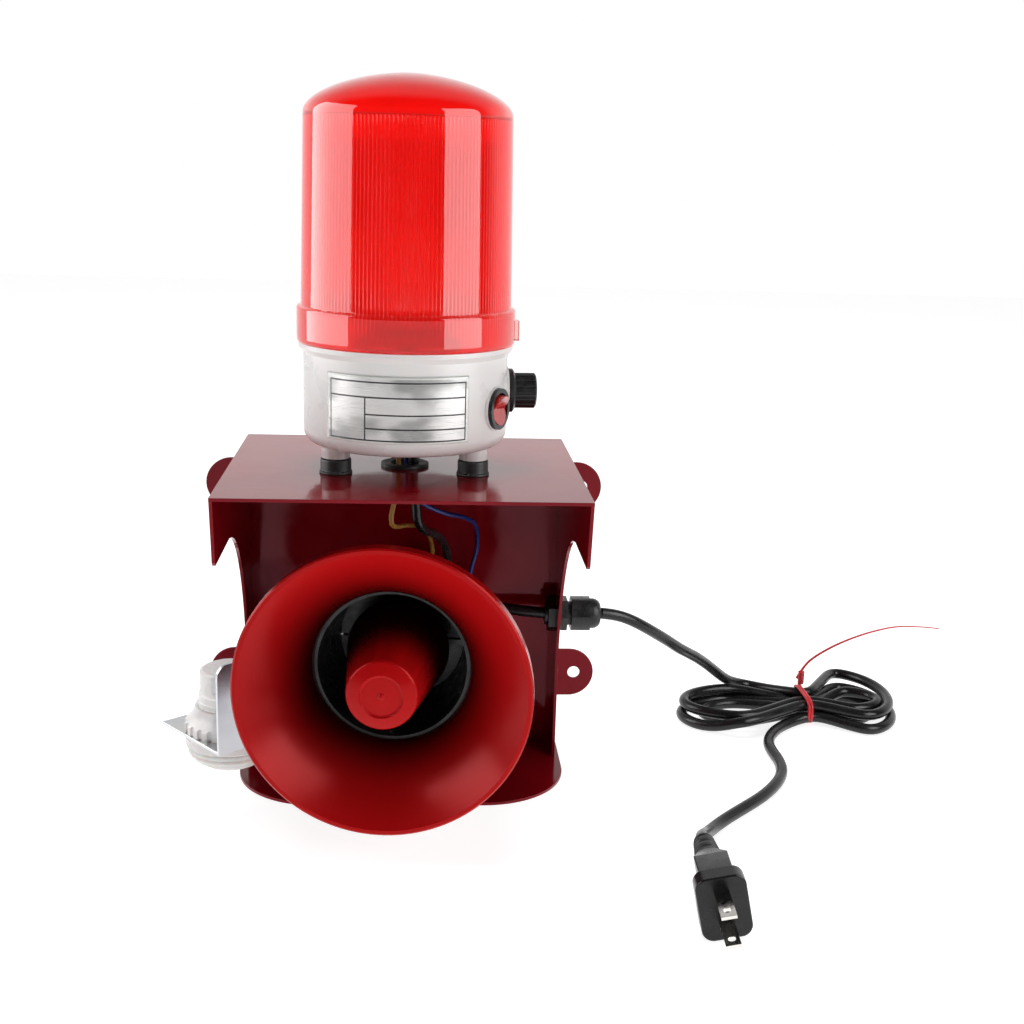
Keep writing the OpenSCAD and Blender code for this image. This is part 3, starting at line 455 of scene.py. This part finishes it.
def rocker_red():
    """Translucent red of the lit rocker."""
    red = Finish("rocker_red", (0.72, 0.016, 0.014), 0.18, {"Transmission Weight": 0.3, "Coat Weight": 0.5})
    red.shade(red.noise(150, 2), 0.15)
    red.gloss(red.noise(240, 3), 0.12, 0.26)
    red.bump(red.noise(900, 2), 0.00002, 0.4)
    return red.material


def reflector_silver():
    """Vacuum metallised film of the turning reflector."""
    film = Finish("reflector_film", (0.85, 0.85, 0.84), 0.12, {"Metallic": 1.0})
    film.shade(film.noise(80, 3), 0.05)
    film.gloss(film.noise(120, 4), 0.07, 0.2)
    film.bump(film.noise(90, 2), 0.0001, 0.3)
    return film.material


def gear_ivory():
    """Natural nylon of the gears."""
    nylon = Finish("gear_nylon", (0.72, 0.68, 0.56), 0.42, {
        "Subsurface Weight": 0.2, "Subsurface Scale": 0.002})
    nylon.shade(nylon.noise(90, 3), 0.07)
    nylon.gloss(nylon.noise(200, 3), 0.36, 0.5)
    nylon.bump(nylon.noise(1000, 3), 0.00003, 0.5)
    return nylon.material


def magnet_grey():
    """Sintered ferrite with fine pits."""
    ferrite = Finish("ferrite", (0.075, 0.075, 0.082), 0.55, {"Metallic": 0.3})
    ferrite.shade(ferrite.noise(200, 4), 0.25)
    ferrite.gloss(ferrite.noise(260, 4), 0.45, 0.7)
    ferrite.bump(ferrite.cells(900), 0.00005, 0.5)
    return ferrite.material


def diaphragm_tan():
    """Woven phenolic film of the horn's diaphragm."""
    film = Finish("phenolic_film", (0.36, 0.24, 0.11), 0.45)
    film.shade(film.noise(200, 3), 0.12)
    film.gloss(film.noise(300, 3), 0.38, 0.55)
    film.bump(film.noise(1800, 2, (1, 0.2, 1)), 0.00003, 0.5)
    film.bump(film.noise(1800, 2, (0.2, 1, 1)), 0.00003, 0.5)
    return film.material


def lamp_board():
    """White board that carries the emitters."""
    board = Finish("lamp_board", (0.74, 0.73, 0.68), 0.4)
    board.shade(board.noise(120, 3), 0.06)
    board.gloss(board.noise(200, 3), 0.32, 0.5)
    board.bump(board.noise(900, 2), 0.00003, 0.5)
    return board.material


def lamp_chip():
    """Yellow phosphor of one emitter."""
    chip = Finish("lamp_chip", (0.85, 0.62, 0.08), 0.3, {
        "Emission Color": (1.0, 0.72, 0.2, 1), "Emission Strength": 0.25})
    chip.shade(chip.noise(700, 2), 0.12)
    chip.gloss(chip.noise(600, 2), 0.22, 0.4)
    chip.bump(chip.noise(1600, 2), 0.00002, 0.5)
    return chip.material


def tie_red():
    """Red plastic over the tie's thin wire."""
    red = Finish("tie_red", (0.56, 0.012, 0.02), 0.38)
    red.shade(red.noise(150, 3), 0.15)
    red.gloss(red.noise(300, 3), 0.3, 0.48)
    red.bump(red.noise(1500, 3), 0.00003, 0.5)
    return red.material


def floor_paper():
    """White studio paper."""
    paper = Finish("studio_paper", (0.5, 0.5, 0.5), 0.8, {
        "Emission Color": (1, 1, 1, 1), "Emission Strength": 0.84, "Specular IOR Level": 0.1})
    paper.shade(paper.noise(3, 2), 0.004)
    paper.bump(paper.noise(500, 3), 0.00002, 0.3)
    return paper.material


FINISHES = {
    "bracket_paint": bracket_paint(),
    "horn_plastic": horn_plastic(),
    "dome_plastic": dome_clear(),
    "white_plastic": white_plastic(),
    "lens_plastic": lens_plastic(),
    "plate_silver": plate_silver(),
    "black_plastic": black_plastic(),
    "black_rubber": black_rubber(),
    "cable_black": cable_black(),
    "wire_tan": wire_finish("wire_tan_pvc", (0.42, 0.2, 0.035)),
    "wire_blue": wire_finish("wire_blue_pvc", (0.012, 0.022, 0.16)),
    "zinc": zinc(),
    "steel": plated("plated_steel", (0.58, 0.57, 0.56), 0.28, 0.1),
    "brass": brass(),
    "nickel": plated("bright_nickel", (0.74, 0.72, 0.68), 0.16, 0.06),
    "board_green": board_green(),
    "rocker_red": rocker_red(),
    "reflector_silver": reflector_silver(),
    "gear_ivory": gear_ivory(),
    "magnet_grey": magnet_grey(),
    "diaphragm_tan": diaphragm_tan(),
    "lamp_glow": lamp_board(),
    "tie_red": tie_red(),
}


# ---- mesh helpers --------------------------------------------------------------------------

def mesh_piece(name, points, faces, materials, picks=None):
    """A smooth closed mesh. The points are in millimetres and picks gives each face its material."""
    data = bpy.data.meshes.new(name)
    data.from_pydata([Vector(point) * MM for point in points], [], faces)
    for material in materials:
        data.materials.append(material)
    if picks:
        data.polygons.foreach_set("material_index", picks)
    shape = bmesh.new()
    shape.from_mesh(data)
    bmesh.ops.recalc_face_normals(shape, faces=shape.faces)
    shape.to_mesh(data)
    shape.free()
    data.polygons.foreach_set("use_smooth", [True] * len(data.polygons))
    piece = bpy.data.objects.new(name, data)
    bpy.context.scene.collection.objects.link(piece)
    return piece


def skin(rings):
    """The points and faces of a closed surface through rings of equally many points."""
    count = len(rings[0])
    points = [point for ring in rings for point in ring]
    faces = [list(range(count))]
    for row in range(len(rings) - 1):
        for i in range(count):
            j = (i + 1) % count
            first, second = row * count, (row + 1) * count
            faces.append([first + i, first + j, second + j, second + i])
    faces.append([(len(rings) - 1) * count + i for i in range(count)])
    return points, faces


def circle(radius, height, count, wave=None):
    """A ring of points about the vertical axis. wave adds to the radius by angle."""
    ring = []
    for i in range(count):
        angle = 2 * math.pi * i / count
        reach = radius + (wave(angle) if wave else 0)
        ring.append(Vector((reach * math.cos(angle), reach * math.sin(angle), height)))
    return ring


def brick(low, high):
    """The points and faces of a box."""
    points = [Vector(corner) for corner in itertools.product(*zip(low, high))]
    faces = [[0, 1, 3, 2], [4, 6, 7, 5], [0, 4, 5, 1], [2, 3, 7, 6], [0, 2, 6, 4], [1, 5, 7, 3]]
    return points, faces


def add_shape(points, faces, more_points, more_faces):
    """Appends one set of points and faces to another."""
    start = len(points)
    points.extend(more_points)
    faces.extend([[start + corner for corner in face] for face in more_faces])


def soften(piece, width, limit=30):
    """Rounds the piece's edges by that many millimetres where they turn by more than the limit in degrees."""
    bevel = piece.modifiers.new("soft edges", "BEVEL")
    bevel.width = width * MM
    bevel.segments = 2
    bevel.limit_method = "ANGLE"
    bevel.angle_limit = math.radians(limit)
    bevel.harden_normals = True
    bevel.use_clamp_overlap = True


# ---- the CAD nodes' own finish -------------------------------------------------------------

SOFT_EDGE = 0.15
SOFT_EDGES = {
    "housing_shell": 0.35, "back_plate": 0.35, "horn_yoke": 0.3, "beacon_base": 0.5, "foot_sleeves": 0.5,
    "volume_knob": 0.35, "switch_body": 0.5, "switch_rocker": 0.4, "gland_body": 0.3, "gland_nut": 0.4,
    "plug_body": 0.9, "plug_pins": 0.2, "horn_bell": 0.6, "horn_bullet": 0.4, "throat_insert": 0.3,
    "sensor_housing": 0.6, "sensor_nut": 0.4, "sensor_bracket": 0.25, "sensor_lug": 0.3, "driver_cover": 0.4,
}


def finish_node(node):
    """A CAD node keeps its shape and gets its finish, soft edges and smooth curved faces."""
    data = node.data
    for name in ("custom_normal", "sharp_edge"):
        if name in data.attributes:
            data.attributes.remove(data.attributes[name])
    data.polygons.foreach_set("use_smooth", [True] * len(data.polygons))
    weld = node.modifiers.new("weld", "WELD")
    weld.merge_threshold = 0.00001
    flatten = node.modifiers.new("flat faces", "DECIMATE")
    flatten.decimate_type = "DISSOLVE"
    flatten.angle_limit = math.radians(0.6)
    soften(node, SOFT_EDGES.get(node.name, SOFT_EDGE))
    for place in node.material_slots:
        place.material = FINISHES[place.material.name.split(".")[0]]


# ---- the cord and what is on it ------------------------------------------------------------

PLUG = (Matrix.Translation((131, -206, -75.9)) @ Matrix.Rotation(math.radians(-3), 4, "Z")
        @ Matrix.Rotation(math.radians(-12), 4, "Y"))
RELIEF_START, RELIEF_END = 40, 58
RELIEF_CORE_R = 3.5
SLOTS = 5
SLOTS_START, SLOT_PITCH, SLOT_RUN, SLOT_WALL = 42.4, 3, 1.5, 0.15
BUNDLE_HALF, BUNDLE_MIDDLE, BUNDLE_RISE = 16, 4.6, 6.9
TWIST_X, TWIST_Y, TWIST_Z = TIE_X + 0.9, 50, -76.5
TWIST_R = 1.1
TWIST_STEP = 0.3
TIE_TAIL = [(229, 52, -74), (231, 52, -70), (236, 52, -63), (246, 52, -56), (258, 52, -50),
            (272, 52, -45), (286, 52, -42), (300, 52, -42), (311, 52, -43)]


def relief_ring(y, radius, gaps=None):
    """A ring round the strain relief. Where it is slotted, only two bridges keep the full radius."""
    ring = []
    for i in range(72):
        angle = 2 * math.pi * i / 72
        across = math.cos(angle) if gaps == 0 else math.sin(angle)
        reach = radius if gaps is None or abs(across) > 0.87 else RELIEF_CORE_R
        ring.append(PLUG @ Vector((reach * math.cos(angle), y, reach * math.sin(angle))))
    return ring


def add_strain_relief():
    """Tapered sleeve behind the plug, with slots staggered on two sides."""
    def outside(y):
        return 6.2 - 1.7 * (y - RELIEF_START) / (RELIEF_END - RELIEF_START)

    rings = [relief_ring(RELIEF_START - 0.5, 5.6), relief_ring(RELIEF_START, outside(RELIEF_START))]
    for number in range(SLOTS):
        start = SLOTS_START + SLOT_PITCH * number
        end = start + SLOT_RUN
        radius = outside(start)
        side = number % 2
        rings += [relief_ring(start, radius), relief_ring(start + SLOT_WALL, radius, side),
                  relief_ring(end - SLOT_WALL, radius, side), relief_ring(end, radius)]
    rings += [relief_ring(RELIEF_END - 0.4, outside(RELIEF_END)), relief_ring(RELIEF_END, 3.9),
              relief_ring(RELIEF_END, 3.1)]
    points, faces = skin(rings)
    piece = mesh_piece("strain_relief", points, faces, [FINISHES["black_rubber"]])
    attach(piece, "housing")
    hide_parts("plug_strain_relief")
    return piece


def tie_turn(shift, start, end):
    """Part of a turn of the tie round the bundle, from one angle to another, in degrees."""
    line = []
    for step in range(start, end + 1, 10):
        angle = math.radians(step)
        c, s = math.cos(angle), math.sin(angle)
        y = TIE_Y + BUNDLE_HALF * math.copysign(abs(c) ** 0.5, c)
        z = CORD_FLOOR + BUNDLE_MIDDLE + BUNDLE_RISE * math.copysign(abs(s) ** 0.6, s)
        line.append(Vector((TIE_X + shift + 1.6 * (step - start) / 360, y, z)))
    return line


def twist_line(phase):
    """One of the tie's two ends where they twist round each other, eight steps to a turn."""
    line = []
    for i in range(25):
        angle = i * math.pi / 4 + phase
        line.append(Vector((TWIST_X + TWIST_R * math.cos(angle), TWIST_Y + TWIST_R * math.sin(angle),
                            TWIST_Z + TWIST_STEP * i)))
    return line


def add_tie():
    """Red wire tie: two turns round the bundle, a twist and one long loose end."""
    red = FINISHES["tie_red"]
    band = tie_turn(-2.2, 40, 760)
    tail = [Vector(point) for point in TIE_TAIL]
    parts = [curve_piece("tie_band", smooth_line(band, 1.5), 0.85, red, 4),
             curve_piece("tie_twist_a", twist_line(0), 0.8, red, 4),
             curve_piece("tie_twist_b", twist_line(math.pi), 0.8, red, 4),
             curve_piece("tie_tail", smooth_line(tail), 0.75, red, 4, lambda t: 1 - 0.6 * t)]
    for part in parts:
        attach(part, "housing")
        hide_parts("cord_tie")
    return parts


def add_cord():
    """The mains lead: out of the gland, down to the floor, eight strands of hank and on to the plug."""
    cord = curve_piece("mains_cord", cord_line(), CORD_R, FINISHES["cable_black"], 6)
    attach(cord, "housing")
    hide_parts("cord_lead", "cord_hank", "cord_tail")
    add_strain_relief()
    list(add_tie())


# ---- cables inside the bracket -------------------------------------------------------------

# Radius, finish and route of each wire
WIRES = {
    "inner_cable": (3.0, "cable_black", [
        (103, -13, -14), (88, -13, -14), (74, -13, -14), (66, -12.5, -13.5), (58, -11, -13), (50, -9, -12.5),
        (42.4, -8, -12)]),
    "beacon_cable": (2.2, "cable_black", [
        (4, -71, 95.5), (4, -71, 86), (4, -71, 74), (5, -71, 62), (6, -68, 50), (9, -58, 42), (14, -42, 36),
        (19, -26, 28), (22, -12, 16), (22, -9, 4), (22, -9, -4)]),
    "wire_tan": (1.2, "wire_tan", [
        (-3, -71, 95.5), (-3, -71, 86), (-3, -71, 74), (-4, -71, 62), (-6, -70, 52), (-5, -64, 45),
        (2, -50, 42), (10, -32, 36), (14, -15, 22), (13.5, -8, 8), (13.5, -8, -4)]),
    "wire_blue": (1.2, "wire_blue", [
        (1, -66.5, 95.5), (1, -66.5, 86), (1, -66.5, 74), (3, -64, 62), (9, -56, 54), (20, -46, 47),
        (30, -34, 42), (36, -20, 34), (37, -11, 20), (34.5, -8.5, 8), (33.5, -8, -4)]),
}


def add_wires():
    """The cable from the gland and the beacon's wires, which hang down behind the horn."""
    for node, (radius, finish, points) in WIRES.items():
        line = smooth_line([Vector(point) for point in points])
        piece = curve_piece(node + "_run", line, radius, FINISHES[finish], 4)
        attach(piece, "housing")
        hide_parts(node)


# ---- the dome ------------------------------------------------------------------------------

FLUTES = 160
FLUTE_STEPS = 6
FLUTE_DEPTH = 1.0
FLUTES_LOW, FLUTES_HIGH = 74, 154
SHOULDER_Z = 156.5
# The crown's radius at the shoulder and its height, outside and inside
CROWN_OUTER, CROWN_INNER = (45.9, 17.5), (42.9, 15.3)
# The wall's outside and inside below the shoulder, as radius and height above the roof
OUTER_LINE = [(48.7, 57.8), (48.95, 57.95), (49.2, 58.4), (49.2, 60), (49.2, 66), (49.2, 71.8), (49.2, 72.5),
              (48.9, 73.1), (48.4, 73.5), (47.6, 73.6), (47.3, 73.8), (47.22, 74.3), (47.1, 84), (46.75, 105),
              (46.4, 126), (46.05, 147)]
INNER_LINE = [(46.6, 58.1), (46.2, 59), (45.4, 71.5), (45.1, 74), (45.1, 76), (45, 90), (44.7, 110),
              (44.3, 130), (44.1, 149), (44.05, 153.8), (43.9, 154.9), (43.2, 155.3)]
TAB_LOW, TAB_HIGH = (-4, -51.2, 58.8), (4, -48.6, 67.8)
TAB_TURN = math.radians(92)


def crown_line(radius, height):
    """The dome's top from its shoulder to its middle."""
    line = []
    for angle in range(0, 81, 5):
        c, s = math.cos(math.radians(angle)), math.sin(math.radians(angle))
        line.append((radius * c ** 1.17, SHOULDER_Z + height * s ** 1.09))
    top = line[-1]
    middle = SHOULDER_Z + height
    for share in (0.75, 0.5, 0.25, 0.02):
        line.append((top[0] * share, top[1] + (middle - top[1]) * (1 - share ** 2)))
    return line


def flute(angle):
    """The saw-like flutes inside the dome, deepest in the grooves between them."""
    turn = FLUTES * angle / (2 * math.pi) % 1
    return FLUTE_DEPTH * (abs(2 * turn - 1) ** 1.5 - 0.5)


def add_dome():
    """Clear red dome with its collar, fluted inside up to the ledge below the crown."""
    count = FLUTES * FLUTE_STEPS
    outside = [circle(radius, z, count) for radius, z in OUTER_LINE + crown_line(*CROWN_OUTER)]
    inside = []
    for radius, z in INNER_LINE:
        fluted = FLUTES_LOW <= z < FLUTES_HIGH
        inside.append(circle(radius, z, count, flute if fluted else None))
    inside += [circle(radius, z, count) for radius, z in crown_line(*CROWN_INNER)]
    rings = outside[::-1] + inside
    points, faces = skin(rings)
    outer_faces = 1 + (len(outside) - 1) * count
    picks = [0] * outer_faces + [1] * (len(faces) - outer_faces)
    turn = Matrix.Rotation(TAB_TURN, 4, "Z")
    tab_points, tab_faces = brick(TAB_LOW, TAB_HIGH)
    add_shape(points, faces, [turn @ point for point in tab_points], tab_faces)
    picks += [0] * len(tab_faces)
    middle = BEACON / MM
    piece = mesh_piece("dome_shell", [point + middle for point in points], faces,
                       [FINISHES["dome_plastic"], dome_deep()], picks)
    soften(piece, 0.4, limit=60)
    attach(piece, "dome")
    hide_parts("dome")


# ---- the name plate ------------------------------------------------------------------------

PLATE_R = 46.65
PLATE_START, PLATE_SWEEP = -136, 82
PLATE_Z, PLATE_H = 18.7, 29
# The foil inside the white border: left, right, top and bottom, in shares of the plate's width and height
FOIL = (0.017, 0.988, 0.035, 0.975)
# Ruled lines as boxes across and down the plate, in shares of its width and height from the top left
RULE_U, RULE_V = 0.010, 0.023
RULES = [(0.037, 0.974, 0.09, None), (0.037, 0.974, 0.315, None), (0.30, 0.974, 0.57, None),
         (0.30, 0.974, 0.78, None), (0.037, 0.974, 0.955, None), (None, 0.037, 0.09, 0.955),
         (None, 0.30, 0.315, 0.955), (None, 0.974, 0.09, 0.955)]


def inside_box(box, u, v):
    return box[0] < u < box[1] and box[2] < v < box[3]


def rule_box(rule):
    """A ruled line as a box: one with no bottom runs across the plate, the others run down it."""
    first, second, top, bottom = rule
    if bottom is None:
        return first - RULE_U / 2, second + RULE_U / 2, top - RULE_V / 2, top + RULE_V / 2
    return second - RULE_U / 2, second + RULE_U / 2, top - RULE_V / 2, bottom + RULE_V / 2


def add_name_plate():
    """Curved foil plate with a white border and ruled lines. It carries no lettering."""
    rules = [rule_box(rule) for rule in RULES]
    across = sorted({*(i / 40 for i in range(41)), *(edge for box in [FOIL, *rules] for edge in box[:2])})
    down = sorted({*(i / 16 for i in range(17)), *(edge for box in [FOIL, *rules] for edge in box[2:])})
    points = []
    for v in down:
        for u in across:
            angle = math.radians(PLATE_START + PLATE_SWEEP * u)
            points.append(Vector((PLATE_R * math.cos(angle), PLATE_R * math.sin(angle),
                                  PLATE_Z + PLATE_H * (1 - v))) + BEACON / MM)
    faces, picks = [], []
    width = len(across)
    for row in range(len(down) - 1):
        for column in range(width - 1):
            u = (across[column] + across[column + 1]) / 2
            v = (down[row] + down[row + 1]) / 2
            corner = row * width + column
            faces.append([corner, corner + width, corner + width + 1, corner + 1])
            if any(inside_box(rule, u, v) for rule in rules):
                picks.append(2)
            else:
                picks.append(0 if inside_box(FOIL, u, v) else 1)
    materials = [FINISHES["plate_silver"], plate_border(), plate_ink()]
    piece = mesh_piece("rating_plate", points, faces, materials, picks)
    sheet = piece.modifiers.new("thickness", "SOLIDIFY")
    sheet.thickness = 0.3 * MM
    sheet.offset = 0
    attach(piece, "housing")
    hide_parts("name_plate")


# ---- the lamp ------------------------------------------------------------------------------

# Radius and height above its holder
LAMP_LINE = [(7, 0), (7.1, 0.3), (7.1, 6.6), (7.3, 7.2), (8.4, 8.8), (8.6, 9.2), (8.6, 38), (8.3, 41),
             (7.4, 43.5), (5.6, 45.6), (3, 46.7), (0.2, 47)]
LAMP_FOOT = 69.5
CHIP_COLUMNS, CHIP_ROWS = 12, 7
CHIP_START, CHIP_PITCH, CHIP_SIZE = 10.6, 4, 2.8
CHIP_BACK, CHIP_FRONT = -8.3, -9.0


def add_lamp():
    """Upright lamp with rows of yellow emitters round it."""
    points, faces = skin([circle(radius, z, 64) for radius, z in LAMP_LINE])
    picks = [0] * len(faces)
    for column in range(CHIP_COLUMNS):
        turn = Matrix.Rotation(2 * math.pi * column / CHIP_COLUMNS, 4, "Z")
        for row in range(CHIP_ROWS):
            z = CHIP_START + CHIP_PITCH * row
            chip_points, chip_faces = brick((-CHIP_SIZE / 2, CHIP_FRONT, z),
                                            (CHIP_SIZE / 2, CHIP_BACK, z + CHIP_SIZE))
            add_shape(points, faces, [turn @ point for point in chip_points], chip_faces)
            picks += [1] * len(chip_faces)
    middle = BEACON / MM + Vector((0, 0, LAMP_FOOT))
    piece = mesh_piece("lamp", [point + middle for point in points], faces,
                       [FINISHES["lamp_glow"], lamp_chip()], picks)
    soften(piece, 0.15, limit=50)
    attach(piece, "housing")
    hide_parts("led_lamp")


# ---- the motion sensor's lens --------------------------------------------------------------

LENS_POINTS = 144
LENS_R, LENS_DROP = 20.7, 11.9
FACET_STEPS = 41
FACET_ANGLE = math.radians(2.1)


def add_lens():
    """Milky dome of small facets that faces down."""
    def facets(share):
        return lambda angle: 0.35 * abs(math.cos(12 * angle)) * share

    rings = [circle(radius, z, LENS_POINTS) for radius, z in ((18.6, 0), (21.0, 0), (21.3, -0.3))]
    for step in range(FACET_STEPS):
        angle = FACET_ANGLE * step
        bulge = abs(math.cos(step * math.pi / 8))
        rings.append(circle(LENS_R * math.cos(angle) + 0.3 * bulge, -1 - LENS_DROP * math.sin(angle),
                            LENS_POINTS, facets(bulge * math.cos(angle))))
    rings.append(circle(0.3, -13, LENS_POINTS))
    points, faces = skin(rings)
    middle = Vector((LENS.x / MM, LENS.y / MM, LENS_HIGH.z / MM))
    piece = mesh_piece("sensor_dome", [point + middle for point in points], faces, [FINISHES["lens_plastic"]])
    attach(piece, "sensor")
    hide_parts("sensor_lens")


# ---- studio --------------------------------------------------------------------------------

def softbox(name, place, target, width, height, radiance, shows_in):
    """A soft light of that size. It shows only in matt surfaces, or only in glossy ones."""
    data = bpy.data.lights.new(name, "AREA")
    data.shape = "RECTANGLE"
    data.size = width
    data.size_y = height
    data.energy = radiance * math.pi * width * height
    light = bpy.data.objects.new(name, data)
    light.location = place
    light.rotation_euler = (Vector(target) - Vector(place)).to_track_quat("-Z", "Y").to_euler()
    light.visible_camera = False
    light.visible_transmission = False
    light.visible_diffuse = shows_in == "matt"
    light.visible_glossy = shows_in == "glossy"
    bpy.context.scene.collection.objects.link(light)


def add_world():
    """White behind, softer overhead, and dark at the sides and in front, as in a real studio."""
    world = bpy.data.worlds.new("studio")
    world.use_nodes = True
    bpy.context.scene.world = world
    tree = world.node_tree
    direction = tree.nodes.new("ShaderNodeTexCoord").outputs["Generated"]
    parts = tree.nodes.new("ShaderNodeSeparateXYZ")
    tree.links.new(direction, parts.inputs["Vector"])
    shares = []
    for axis, start, end, low, high in (("Y", -0.05, 0.45, 0.06, 1.0), ("Z", 0.2, 0.8, 1.0, 0.3)):
        spread = tree.nodes.new("ShaderNodeMapRange")
        spread.interpolation_type = "SMOOTHSTEP"
        for socket, value in (("From Min", start), ("From Max", end), ("To Min", low), ("To Max", high)):
            spread.inputs[socket].default_value = value
        tree.links.new(parts.outputs[axis], spread.inputs["Value"])
        shares.append(spread.outputs["Result"])
    product = tree.nodes.new("ShaderNodeMath")
    product.operation = "MULTIPLY"
    tree.links.new(shares[0], product.inputs[0])
    tree.links.new(shares[1], product.inputs[1])
    tree.links.new(product.outputs[0], tree.nodes["Background"].inputs["Strength"])
    tree.nodes["Background"].inputs["Color"].default_value = (1, 1, 1, 1)


def add_floor():
    """A wide sheet of white paper that the siren stands on."""
    size, steps = 6.0, 12
    middle = Vector((0, 0, FLOOR_Z)) / MM
    points = []
    faces = []
    for i in range(steps + 1):
        for j in range(steps + 1):
            points.append(Vector((i / steps - 0.5, j / steps - 0.5, 0)) * size / MM + middle)
    for i in range(steps):
        for j in range(steps):
            corner = i * (steps + 1) + j
            faces.append([corner, corner + steps + 1, corner + steps + 2, corner + 1])
    floor = mesh_piece("floor", points, faces, [floor_paper()])


def add_lights():
    """Two bright cards that the dome mirrors as upright strips, and three soft lights for matt surfaces."""
    softbox("card_left", (-0.5, -0.071, 0.33), (0, -0.071, 0.33), 0.6, 0.56, 5.0, "glossy")
    softbox("card_right", (0.476, -0.346, 0.33), (0, -0.071, 0.33), 0.44, 0.56, 5.4, "glossy")
    softbox("left", (-1.0, -0.1, 0.35), (0, -0.07, 0.05), 0.8, 0.9, 1.15, "matt")
    softbox("right", (0.95, -0.9, 0.45), (0, -0.07, 0.0), 0.8, 0.8, 3.0, "matt")
    softbox("top", (0, 0.2, 1.5), (0, -0.07, 0), 1.0, 1.0, 6.0, "matt")


# ---- build ---------------------------------------------------------------------------------

add_camera()
add_cord()
add_wires()
add_dome()
add_name_plate()
add_lamp()
add_lens()
for node in list(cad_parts.values()):
    finish_node(node)
add_world()
add_floor()
add_lights()
bpy.context.scene.view_settings.view_transform = "Standard"
